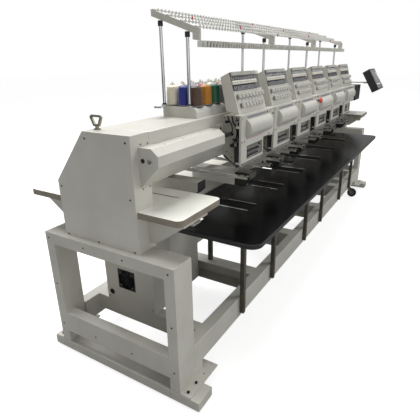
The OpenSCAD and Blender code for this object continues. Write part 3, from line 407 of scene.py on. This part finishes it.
# beds, table and sewing field
softened("cylinder_beds", ["bedEnamel", "polishedSteel"], 3.0, 2,
         lambda c, n: 1 if n.z > 0.8 and c[2] > 924 else 0)
softened("bed_noses", ["oliveEnamel"], 2.0, 2)
softened("needle_plates", ["groundSteel"], 0.4)
softened("table_top", ["blackMelamine", "blackEdgeBand"], 3.0, 3, lambda c, n: 1 if abs(n.z) < 0.5 else 0)
stiffener = {"fromMiddle": 57, "width": 9, "front": 46, "back": 318, "low": 664, "top": 686.3,
             "screwYs": (70, 180, 295)}
bm = bmesh.new()
for station in stations():
    for side in (-1, 1):
        x, half = station + side * stiffener["fromMiddle"], stiffener["width"] / 2
        addBox(bm, at(x - half, stiffener["front"], stiffener["low"]),
               at(x + half, stiffener["back"], stiffener["top"]), 0.0008, 1, 0)
        for y in stiffener["screwYs"]:
            addRod(bm, at(x, y, stiffener["low"] + 0.2), at(x, y, stiffener["low"] - 1.6), 0.003, 10, 1)
makePiece(bm, "slotStiffeners", "table", ["blackEdgeBand", "zincPlatedSteel"])
softened("table_fittings", ["satinAluminium", "chromePlate"], 0.5, 1, lambda c, n: 1 if c[2] > 709 else 0)
softened("table_sleeves", ["greyPost"], 1.2)
softened("y_carriage", ["satinAluminium"], 0.8)
softened("sash_frame", ["polishedSteel"], 1.5, 2)
softened("hoop_arms", ["polishedSteel"], 1.5, 2)
for node in ("hook_one", "hook_two", "hook_three", "hook_four", "hook_five", "hook_six", "main_shaft",
             "take_up_levers", "presser_feet", "needle_bars", "active_needle_bars", "case_rods"):
    dress(node, "groundSteel")
softened("main_motor", ["blackEnamel"], 1.5)
softened("color_change_box", ["blackAbs"], 3.0, 3)
softened("fan_frame", ["blackAbs"], 0.8)
dress("fan_rotor", "blackAbs")
softened("key_switch", ["zincPlatedSteel"], 1.0)
print("beds and table ready")

# heads
softened("tension_cases", ["sprayedEnamel"], 1.6, 2)
softened("case_fronts", ["sprayedEnamel"], 1.2, 2)
softened("bump_covers", ["sprayedEnamel"], 0.9, 2)
slantedCase = {"left": -100, "width": 350, "frontY": 88, "lowZ": 1251, "leanBack": 62, "rise": 209}
caseLean = math.atan2(slantedCase["leanBack"], slantedCase["rise"])
slopeLength = math.hypot(slantedCase["leanBack"], slantedCase["rise"])
dial = {"radius": 14.6, "height": 20, "knurls": 20, "knurlDepth": 0.93, "discRadius": 12.5,
        "upperRow": 0.42, "lowerRow": 0.2}


def slope(station):
    # local frame on the slanted face: X along it, Z up the slope, -Y outwards, in metres
    foot = Matrix.Translation(at(station, slantedCase["frontY"], slantedCase["lowZ"]))
    return foot @ Matrix.Rotation(-caseLean, 4, "X")


def addDial(bm, place):
    # a knurled adjusting knob over a pair of spring discs on a post, pointing along local Z
    r, h = dial["radius"] / 1000, dial["height"] / 1000
    addRod(bm, (0, 0, 0), (0, 0, h * 0.6), 0.004, 8, 1, turn=place)
    for low, high in ((0.0008, 0.0022), (0.0034, 0.0048)):
        addRod(bm, (0, 0, low), (0, 0, high), dial["discRadius"] / 1000, 18, 1, turn=place)
    profile = [(0, h * 0.36), (r * 0.72, h * 0.36), (r, h * 0.46), (r, h * 0.9), (r * 0.86, h), (r * 0.5, h),
               (r * 0.42, h * 0.93), (0, h * 0.93)]
    faces = addLathe(bm, profile, Matrix.Identity(4), dial["knurls"], 0)
    verts = list({v for f in faces for v in f.verts})
    for v in verts:
        turn = math.atan2(v.co.y, v.co.x)
        if math.hypot(v.co.x, v.co.y) > r * 0.8 and round(turn / (math.tau / dial["knurls"])) % 2:
            v.co.x *= dial["knurlDepth"]
            v.co.y *= dial["knurlDepth"]
    bmesh.ops.transform(bm, matrix=place, verts=verts)


bm = bmesh.new()
for station in stations():
    for k in range(machine["needles"]):
        # two rows, staggered by half a knob
        x = slantedCase["left"] + slantedCase["width"] / 8.5 * (0.75 + k // 2 + (k % 2) / 2)
        up = slopeLength * (dial["upperRow"] if k % 2 == 0 else dial["lowerRow"])
        place = slope(station) @ Matrix.Translation((x / 1000, 0, up / 1000)) @ Matrix.Rotation(math.pi / 2, 4, "X")
        addDial(bm, place)
makePiece(bm, "tensionDials", "needle_cases", ["greyNylon", "groundSteel"], ["tension_knobs"])

strip = {"left": -97, "right": 196, "low": 121, "high": 201}
stripPitch = (strip["right"] - strip["left"]) / machine["needles"]
bm = bmesh.new()
for station in stations():
    local = slope(station)
    left, right = strip["left"] / 1000, strip["right"] / 1000
    addBox(bm, (left, 0.0035, strip["low"] / 1000), (right, 0.006, strip["high"] / 1000), material=0, turn=local)
    addBox(bm, (left, -0.0006, 0.1982), (right, 0.0005, 0.2165), 0.0003, 1, 0, local)
    addBox(bm, (-0.0994, -0.0006, 0.1225), (left, 0.0004, 0.2165), 0.0002, 1, 0, local)
    for k in range(machine["needles"]):
        x = (strip["left"] + stripPitch * (k + 0.5)) / 1000
        # check spring: post, coil and hooked wire
        addRod(bm, (x, -0.001, 0.123), (x, -0.001, 0.1465), 0.0044, 10, 2, turn=local)
        for ring in range(4):
            low = 0.1255 + ring * 0.0055
            addRod(bm, (x, -0.001, low), (x, -0.001, low + 0.0021), 0.0062, 10, 3, turn=local)
        addRod(bm, (x + 0.0074, -0.003, 0.1235), (x + 0.0052, -0.003, 0.1475), 0.0011, 6, 3, turn=local)
        # guide block and the crossing wires above it
        addBox(bm, (x - 0.0088, -0.007, 0.1535), (x + 0.0088, 0.0034, 0.1745), 0.0014, 2, 1, local)
        addRod(bm, (x, -0.0069, 0.164), (x, -0.0073, 0.164), 0.0032, 10, 0, turn=local)
        for side in (-1, 1):
            addRod(bm, (x + side * 0.0068, -0.0022, 0.1765), (x - side * 0.0022, -0.0022, 0.1985), 0.0013, 6, 3,
                   turn=local)
        # inlet tube with a flared mouth
        addRod(bm, (x, -0.0062, 0.1985), (x, -0.0062, 0.2155), 0.0062, 14, 4, endRadius=0.0072, turn=local)
        addRod(bm, (x, -0.0062, 0.2155), (x, -0.0062, 0.2172), 0.0078, 14, 4, turn=local)
        addRod(bm, (x, -0.0062, 0.2172), (x, -0.0062, 0.2174), 0.0042, 12, 0, turn=local)
    for k in range(14):
        # bent wires between the two rows of knobs
        x = (-96 + 350 / 17 * (k + 0.5)) / 1000
        addRod(bm, (x, -0.0016, 0.0625), (x + 0.0165, -0.0016, 0.0775), 0.001, 6, 3, turn=local)
makePiece(bm, "checkSprings", "needle_cases",
          ["blackAbs", "ivoryNylon", "blackenedSteel", "groundSteel", "greyNylon"])
print("tension cases ready")

front = {"labelTop": 1243, "labelLow": 1229, "lineZ": 1121, "windowLow": 1015, "windowHigh": 1080,
         "windowMiddle": 43.2, "windowHalf": 99, "windowRim": 3,
         "plateScrews": ((-120, 1236), (-120, 1112), (-120, 995), (150, 995), (242, 1236), (242, 1106), (-90, 1112))}
bm = bmesh.new()
for station in stations():
    addBox(bm, at(station - 66, 58.9, front["labelLow"] - 3), at(station + 194, 60.2, front["labelTop"] + 2.5),
           0.0004, 1, 5)
    addBox(bm, at(station - 61, 58.5, front["labelLow"]), at(station + 186, 60.2, front["labelTop"]), 0.0003, 1, 0)
    addBox(bm, at(station - 66, 59.2, front["lineZ"] - 1.5), at(station + 150, 60.2, front["lineZ"] + 1.5),
           0.0002, 1, 1)
    # dark cheek that closes the gap behind the leg, and the felt strip at its foot
    addBox(bm, at(station - 128.8, 71.6, 988), at(station - 126.9, 101, 1090), 0.0004, 1, 4)
    addBox(bm, at(station - 124, 58.8, 987), at(station + 152, 60.4, 996), 0.0004, 1, 6)
    for k in range(45):
        x = station - 121 + k * 6.1
        addBox(bm, at(x, 58.2, 989), at(x + 3, 59, 994), 0.0003, 1, 2)
    for x, z in front["plateScrews"]:
        addRod(bm, at(station + x, 60.2, z), at(station + x, 57.4, z), 0.0042, 12, 2, endRadius=0.0036)
        addRod(bm, at(station + x, 57.5, z), at(station + x, 57.3, z), 0.002, 6, 3)
    for x in (262, 307):
        for z in (1100, 1242):
            addRod(bm, at(station + x, 62.2, z), at(station + x, 59.6, z), 0.0036, 12, 2)
    left, right = front["windowMiddle"] - front["windowHalf"], front["windowMiddle"] + front["windowHalf"]
    bottom, top, rim = front["windowLow"], front["windowHigh"], front["windowRim"]
    for low, high in (((left, bottom - rim), (right, bottom)), ((left, top), (right, top + rim)),
                      ((left - rim, bottom - rim), (left, top + rim)),
                      ((right, bottom - rim), (right + rim, top + rim))):
        addBox(bm, at(station + low[0], 58.8, low[1]), at(station + high[0], 60.3, high[1]), 0.0003, 1, 4)
makePiece(bm, "frontTrim", "needle_cases",
          ["greyFilm", "rosePaint", "zincPlatedSteel", "blackenedSteel", "blackAbs", "whiteEnamel", "greyAbs"])

bm = bmesh.new()
for station in stations():
    for x in needleXs():
        addBox(bm, at(station + x - 4.6, 80.5, 1034), at(station + x + 4.6, 95, 1046), 0.0008, 1, 0)
        addRod(bm, at(station + x, 80.6, 1040), at(station + x, 76.5, 1040), 0.0026, 10, 1)
        for ring in range(7):
            low = 1050 + ring * 7
            addRod(bm, at(station + x, 88, low), at(station + x, 88, low + 3.4), 0.0056, 10, 2)
        addRod(bm, at(station + x, 88, 1004), at(station + x, 88, 1012), 0.0056, 10, 3)
makePiece(bm, "barFittings", "needle_cases",
          ["blackenedSteel", "groundSteel", "zincPlatedSteel", "blackAbs"])

arm = {"hoseRadius": 3.6, "clamps": ((148, 1078, 11), (150, 1140, 9), (178, 1206, 10)),
       "screws": ((124, 1226), (194, 1226), (124, 990), (186, 1040), (150, 1010), (120, 1060)),
       "lip": [(118, 962), (206, 1024), (206, 1012.5), (120, 952.5)]}
bm = bmesh.new()
for station in stations():
    for low, high in ((972, 1094), (1122, 1208)):
        addBox(bm, at(station - 59, 103.4, low), at(station + 59, 108.2, high), 0.0008, 1, 0)
    addBox(bm, at(station - 62.6, 96, 966), at(station - 59.8, 120, 1098), 0.0006, 1, 0)
    addBox(bm, at(station - 62.6, 96, 1118), at(station - 59.8, 116, 1206), 0.0006, 1, 0)
    addBox(bm, at(station - 66, 112, 1106), at(station - 59.8, 146, 1116), 0.0012, 2, 0)
    addPrism(bm, arm["lip"], station - 61.5, station + 61.5, 0.0012, 1)
    addRod(bm, at(station - 62.4, 126, 962.5), at(station - 62.4, 176, 997.5), 0.0011, 8, 3)
    hose = arm["hoseRadius"] / 1000
    addHose(bm, [at(station - 64.5, 150, 1236), at(station - 66, 140, 1205), at(station - 66, 122, 1175),
                 at(station - 65, 118, 1140), at(station - 65, 132, 1105), at(station - 65, 148, 1080)], hose, 1)
    addHose(bm, [at(station - 65, 176, 1238), at(station - 67, 166, 1216), at(station - 67, 150, 1190),
                 at(station - 66, 146, 1160), at(station - 64.6, 150, 1142)], hose * 0.8, 1)
    for y, z, size in arm["clamps"]:
        addBox(bm, at(station - 70, y - size, z - size * 0.7), at(station - 59.6, y + size, z + size * 0.7),
               0.0016, 2, 0)
        addRod(bm, at(station - 70, y, z), at(station - 72, y, z), 0.004, 12, 2)
    for y, z in arm["screws"]:
        addRod(bm, at(station - 60.2, y, z), at(station - 62.2, y, z), 0.0034, 12, 2)
makePiece(bm, "armFittings", "machine",
          ["blackAbs", "mouldedRubber", "blackenedSteel", "chromePlate"])
print("head fittings ready")

for node, key in (("start_button_one", "greenAcrylic"), ("start_button_five", "greenAcrylic"),
                  ("stop_button", "redAcrylic")):
    softened(node, [key], 1.0, 2)
softened("emergency_stop", ["orangeRedPlastic", "blackAbs"], 1.2, 3, lambda c, n: 1 if c[1] > 40 else 0)

hoopArm = {"fromMiddle": 155, "clipYs": (17, 57)}
bm = bmesh.new()
for station in stations():
    for side in (-1, 1):
        x = station + side * hoopArm["fromMiddle"]
        addBox(bm, at(x - 12, 4, 940.5), at(x + 12, 62, 944.5), 0.0008, 1, 0)
        addBox(bm, at(x - 5, -8, 930), at(x + 5, 6, 940), 0.001, 1, 1)
        for y in hoopArm["clipYs"]:
            addRod(bm, at(x, y, 944), at(x, y, 952), 0.0065, 14, 1)
            addRod(bm, at(x, y, 952), at(x, y, 953.5), 0.0052, 14, 1)
makePiece(bm, "hoopClips", "pantograph", ["zincPlatedSteel", "blackenedSteel"])

# thread stand
softened("thread_deck", ["whiteEnamel", "powderCoatGrey", "chromePlate"], 1.5, 2,
         lambda c, n: 2 if c[2] > 1300.5 else (1 if abs(n.x) > 0.9 or c[1] > 430 else 0))
softened("rack_posts", ["chromePlate"], 0)
softened("rack_brackets", ["powderCoatGrey"], 2.5, 2)
softened("guide_bars", ["whiteEnamel"], 1.0, 2)
rack = {"left": -1410, "pitch": 450, "deckTop": 1300, "deckFront": 225, "deckDepth": 206, "rows": (0.18, 0.53, 0.88)}
cone = {"radius": 33, "toHead": 5, "rackSections": 6, "feltRadius": 36}
# the colours of the first four rows across the deck; the others follow in turn
firstCones = [["brownThread", "royalBlueThread", "creamThread"], ["goldThread", "slateBlueThread", "creamThread"],
              ["greenThread", "redThread", "navyThread"], ["greyThread", "whiteThread", "navyThread"]]
coneKeys = [key for key, colour, shade in threadColours]
bm = bmesh.new()
pads = bmesh.new()
for k in range(cone["toHead"] * cone["rackSections"]):
    for row, share in enumerate(rack["rows"]):
        x = rack["left"] + 45 + k * rack["pitch"] / cone["toHead"]
        y = rack["deckFront"] + share * rack["deckDepth"]
        if k < len(firstCones):
            key = firstCones[k][row]
        else:
            key = coneKeys[(k * 3 + row * 5 + k // 7) % len(coneKeys)]
        wound = coneKeys.index(key)
        tube = len(coneKeys)
        r = cone["radius"]
        profile = [(0.0, 3, tube), (r * 0.96, 3, tube), (r * 0.97, 5, tube), (r * 0.9, 6, wound), (r, 9, wound),
                   (r, 30, wound), (r * 0.975, 60, wound), (r * 0.93, 84, wound), (r * 0.87, 93, wound),
                   (r * 0.62, 101, wound), (r * 0.45, 103, wound), (r * 0.36, 104, tube), (r * 0.3, 111, tube),
                   (r * 0.14, 111.5, tube), (0.0, 108, tube)]
        foot = at(x, y, rack["deckTop"])
        addLathe(bm, [(a / 1000, b / 1000, m) for a, b, m in profile], Matrix.Translation(foot), 20)
        addRod(pads, foot, at(x, y, rack["deckTop"] + 3), cone["feltRadius"] / 1000, 20, 0)
makePiece(bm, "threadCones", "machine", coneKeys + ["ivoryNylon"], ["thread_cones"])
makePiece(pads, "felts", "machine", ["blackFelt"])

rail = {"frontY": 201, "backY": 478, "frontZ": 1659, "backZ": 1756}
railSlope = (rail["backZ"] - rail["frontZ"]) / (rail["backY"] - rail["frontY"])
eyeletPitch = 30
bm = bmesh.new()
for bar in range(4):
    y, z = 219.5 + bar * 80, 1674 + bar * 28
    for k in range(90):
        x = rack["left"] + 15 + k * eyeletPitch
        if abs((x - rack["left"]) % 900 - 450) > 444:
            continue
        colour = 2 if (k * 7 + bar * 5) % 43 == 9 else 0
        addRod(bm, at(x, y - 9.5, z - 15), at(x, y - 9.5, z + (2 if bar < 3 else -0.5)), 0.0042, 10, colour)
        if bar < 3:
            addRod(bm, at(x, y - 9.5, z + 2), at(x, y - 9.5, z + 2.3), 0.0022, 8, 1)
addBox(bm, at(-1390, 187.4, 1579.5), at(1270, 190.2, 1596), 0.0006, 1, 3)
for k in range(90):
    x = rack["left"] + 15 + k * eyeletPitch
    addRod(bm, at(x - 2, 184, 1579.5), at(x + 3, 184, 1605), 0.0072, 12, 4)
    addRod(bm, at(x + 3, 184, 1605), at(x + 3.1, 184, 1605.5), 0.004, 8, 1)
for k in range(7):
    x = rack["left"] + k * machine["pitch"]
    low, high = (x - 6, x + 22) if k == 0 else (x - 9, x + 9)
    addBox(bm, at(min(max(low, -1416), 1290), 178, 1578.4), at(min(high, 1296.5), 190.4, 1605.6), 0.0012, 2, 4)
makePiece(bm, "eyelets", "machine",
          ["whiteEnamel", "blackenedSteel", "redAcrylic", "blackAbs", "greyNylon"])

bm = bmesh.new()
for i in range(4):
    x = rack["left"] + i * 900
    for y in (273, 429):
        top = rail["frontZ"] + (y - 8 - rail["frontY"]) * railSlope - 32
        addRod(bm, at(x, y, top - 26), at(x, y, top - 2), 0.0125, 16, 0)
        addRod(bm, at(x, y, 1300), at(x, y, 1309), 0.016, 18, 1)
        addRod(bm, at(x, y, 1309), at(x, y, 1316), 0.011, 16, 0)
addBox(bm, at(rack["left"] - 78, 395, 1300.3), at(rack["left"] + 20, 431, 1304), 0.0008, 1, 1)
addBox(bm, at(rack["left"] - 84, 393, 1298), at(rack["left"] - 78, 433, 1309), 0.001, 1, 1)
makePiece(bm, "postCollars", "machine", ["blackAbs", "satinAluminium"])
print("thread stand ready")

# left end details
bm = bmesh.new()
edge = -machine["halfLength"]
for x, z in ((91, 1205), (134, 1203), (87, 1015), (132, 1016)):
    addRod(bm, at(edge + x, 205.4, z), at(edge + x, 203.2, z), 0.0042, 14, 0, endRadius=0.0036)
    addRod(bm, at(edge + x, 203.3, z), at(edge + x, 202.9, z), 0.002, 6, 1)
addRod(bm, at(edge + 75.6, 185, 1141), at(edge + 73.8, 185, 1141), 0.0098, 24, 2)
addLathe(bm, [(a / 1000, b / 1000) for a, b in ((10.2, 0), (15, 0), (15, 2.2), (13.8, 3), (10.2, 3), (10.2, 0))],
         Matrix.Translation(at(edge + 75.2, 149, 1141)) @ Matrix.Rotation(-math.pi / 2, 4, "Y"), 28, 3)
for x in (190, 330, 470, 600):
    addRod(bm, at(edge + x, 158, 1192.2), at(edge + x, 158, 1190.5), 0.0034, 12, 1)
    addRod(bm, at(edge + x, 158, 1191), at(edge + x, 158, 1193.2), 0.0032, 12, 0)
for i, station in enumerate(stations()):
    # small junction box with a grommet at the left of each arm
    addBox(bm, at(station - 146, 190, 1152), at(station - 92, 205.2, 1200), 0.0016, 2, 4)
    addRod(bm, at(station - 120, 190.4, 1176), at(station - 120, 188, 1176), 0.0085, 18, 2)
makePiece(bm, "endFittings", "machine",
          ["zincPlatedSteel", "blackenedSteel", "mouldedRubber", "chromePlate", "enamelOnCasting"])

fan = {"x": 232, "y": 503, "z": 405, "reach": 58}
bm = bmesh.new()
x = edge + fan["x"]
for radius in (14, 24, 34, 44, 54):
    inner, outer = radius - 1.2, radius + 1.2
    ring = [(inner, -1.2), (outer, -1.2), (outer, 0.8), (inner, 0.8), (inner, -1.2)]
    addLathe(bm, [(a / 1000, b / 1000) for a, b in ring],
             Matrix.Translation(at(x - 2.2, fan["y"], fan["z"])) @ Matrix.Rotation(math.pi / 2, 4, "Y"), 32, 0)
for turn in (45, 135):
    dy, dz = math.cos(math.radians(turn)) * fan["reach"], math.sin(math.radians(turn)) * fan["reach"]
    addRod(bm, at(x - 2.2, fan["y"] - dy, fan["z"] - dz), at(x - 2.2, fan["y"] + dy, fan["z"] + dz), 0.0014, 8, 0)
    for side in (-1, 1):
        addRod(bm, at(x - 0.2, fan["y"] + side * dy * 0.93, fan["z"] + side * dz * 0.93),
               at(x - 3.6, fan["y"] + side * dy * 0.93, fan["z"] + side * dz * 0.93), 0.004, 12, 1)
addLathe(bm, [(a / 1000, b / 1000) for a, b in ((9, -1), (15, -1), (16.5, 0.8), (16.5, 2), (13, 4), (9, 4), (9, -1))],
         Matrix.Translation(at(x, 619, 300)) @ Matrix.Rotation(-math.pi / 2, 4, "Y"), 24, 2)
for y in (330, 640):
    for z in (268, 545):
        addRod(bm, at(x + 0.2, y, z), at(x - 2.2, y, z), 0.004, 12, 1)
makePiece(bm, "boxFittings", "machine", ["blackenedSteel", "zincPlatedSteel", "mouldedRubber"])

# control panel
softened("panel_arm", ["satinAluminium"], 1.2)
softened("panel_case", ["blackAbs"], 6.0, 3)
panel = {"x": 1810, "y": -24, "z": 1257, "tilt": 31}
tilt = Matrix.Rotation(-math.radians(panel["tilt"]), 4, "X")
tilt = Matrix.Translation(at(panel["x"], panel["y"], panel["z"])) @ tilt
bm = bmesh.new()
addBox(bm, (-0.149, -0.0765, -0.102), (0.149, -0.0745, 0.114), 0.0006, 1, 0, tilt)
addBox(bm, (-0.128, -0.0775, -0.035), (0.072, -0.0764, 0.1), 0.0004, 1, 1, tilt)
for column in range(3):
    for line in range(4):
        left, low = 0.086 + column * 0.019, 0.082 - line * 0.021
        addBox(bm, (left, -0.0785, low - 0.014), (left + 0.014, -0.0764, low), 0.0008, 1, 2, tilt)
for column in range(8):
    left = -0.128 + column * 0.025
    addBox(bm, (left, -0.0785, -0.062), (left + 0.019, -0.0764, -0.048), 0.0008, 1, 2, tilt)
for z in (-0.07, -0.05, -0.03, -0.01, 0.01, 0.03, 0.05):
    addBox(bm, (-0.09, -0.0005, z), (-0.045, 0.001, z + 0.006), 0.0002, 1, 3, tilt)
    addBox(bm, (0.045, -0.0005, z), (0.09, 0.001, z + 0.006), 0.0002, 1, 3, tilt)
addRod(bm, (0.11, -0.0764, -0.08), (0.11, -0.084, -0.08), 0.009, 20, 4, turn=tilt)
makePiece(bm, "panelFace", "control_panel",
          ["greyAbs", "screenGlass", "ivoryNylon", "blackEnamel", "orangeRedPlastic"])

# casters
wheel = {"radius": 50, "half": 15, "x": 1480, "z": 51}
for name, y, node in (("frontTyre", 20 - 50, "caster_wheel_front"), ("rearTyre", 783 + 50, "caster_wheel_rear")):
    bm = bmesh.new()
    r, h = wheel["radius"], wheel["half"]
    profile = [(5, -h + 3, 1), (16, -h + 3, 1), (17, -h + 6, 1), (32, -h + 6, 1), (33, -h + 1, 0), (r - 4, -h, 0),
               (r - 0.6, -h + 4, 0), (r, 0, 0), (r - 0.6, h - 4, 0), (r - 4, h, 0), (33, h - 1, 0), (32, h - 6, 1),
               (17, h - 6, 1), (16, h - 3, 1), (5, h - 3, 1), (5, -h + 3, 1)]
    addLathe(bm, [(a / 1000, b / 1000, m) for a, b, m in profile],
             Matrix.Translation(at(wheel["x"], y, wheel["z"])) @ Matrix.Rotation(math.pi / 2, 4, "Y"), 48)
    addRod(bm, at(wheel["x"] - 26, y, wheel["z"]), at(wheel["x"] + 26, y, wheel["z"]), 0.005, 16, 2)
    makePiece(bm, name, bodyOf[node], ["mouldedRubber", "greyAbs", "zincPlatedSteel"], [node])
for node in ("caster_fork_front", "caster_fork_rear"):
    softened(node, ["zincPlatedSteel"], 0.8)
print("panel and casters ready")

# floor, light and camera
bm = bmesh.new()
bmesh.ops.create_grid(bm, x_segments=2, y_segments=2, size=40)
mesh = bpy.data.meshes.new("floor")
bm.to_mesh(mesh)
bm.free()
floorLook = {"colour": "#a8a8a7", "shade": "#a4a4a3", "roughness": (0.45, 0.55), "mottleMm": 900, "grainMm": 60,
             "bump": 0.0}
paleFloor = makeMaterial("paleFloor", floorLook)
# a paper-white sweep: the floor glows a little for the camera only, so it runs into the backdrop
seen = addNode(paleFloor.node_tree, "ShaderNodeLightPath")
glow = addNode(paleFloor.node_tree, "ShaderNodeMath", {1: 0.8}, {0: seen.outputs["Is Camera Ray"]},
               operation="MULTIPLY")
floorShader = paleFloor.node_tree.nodes["Principled BSDF"]
floorShader.inputs["Emission Color"].default_value = (1, 1, 1, 1)
paleFloor.node_tree.links.new(glow.outputs[0], floorShader.inputs["Emission Strength"])
mesh.materials.append(paleFloor)
floor = bpy.data.objects.new("floor", mesh)
bpy.context.scene.collection.objects.link(floor)

world = bpy.data.worlds.new("studio")
bpy.context.scene.world = world
world.use_nodes = True
sky = world.node_tree
path = addNode(sky, "ShaderNodeLightPath")
backdrop = sky.nodes["Background"]
backdrop.inputs["Color"].default_value = (1, 1, 1, 1)
# plain white behind the machine, softer as a light and in reflections
glossy = addNode(sky, "ShaderNodeMath", {1: 0.55}, {0: path.outputs["Is Glossy Ray"]}, operation="MULTIPLY")
diffuse = addNode(sky, "ShaderNodeMath", {1: 0.7}, {0: path.outputs["Is Diffuse Ray"]}, operation="MULTIPLY")
less = addNode(sky, "ShaderNodeMath", links={0: glossy.outputs[0], 1: diffuse.outputs[0]}, operation="ADD")
strength = addNode(sky, "ShaderNodeMath", {0: 1.0}, {1: less.outputs[0]}, operation="SUBTRACT")
sky.links.new(strength.outputs[0], backdrop.inputs["Strength"])
# place, aim, size in metres and power in watts
lights = {"key": ((5.0, -8.5, 8.0), (0.0, 0.0, 0.8), 5.0, 470),
          "fill": ((-4.6, -4.8, 1.5), (-0.6, 0.0, 0.9), 3.0, 38),
          "top": ((0.0, 1.6, 6.5), (0.0, 0.4, 0.8), 6.0, 640)}
for name, (place, aim, size, power) in lights.items():
    data = bpy.data.lights.new(name, "AREA")
    data.size = size
    data.energy = power
    lamp = bpy.data.objects.new(name, data)
    lamp.location = place
    lamp.rotation_euler = (Vector(aim) - Vector(place)).to_track_quat("-Z", "Y").to_euler()
    bpy.context.scene.collection.objects.link(lamp)

view = {"place": (-3.0854, -1.2084, 1.5231), "lens": 33.48, "sensor": 36.0}
right = Vector((0.5130424, -0.8582594, -0.0133550))
down = Vector((-0.3149658, -0.1737585, -0.9330619))
forward = Vector((0.7984886, 0.4829067, -0.3594678))
data = bpy.data.cameras.new("camera")
data.lens = view["lens"]
data.sensor_width = view["sensor"]
data.clip_end = 60
camera = bpy.data.objects.new("camera", data)
rotation = Matrix((right, -down, -forward)).transposed().to_4x4()
camera.matrix_world = Matrix.Translation(view["place"]) @ rotation
bpy.context.scene.collection.objects.link(camera)
bpy.context.scene.camera = camera
bpy.context.scene.view_settings.view_transform = "Standard"
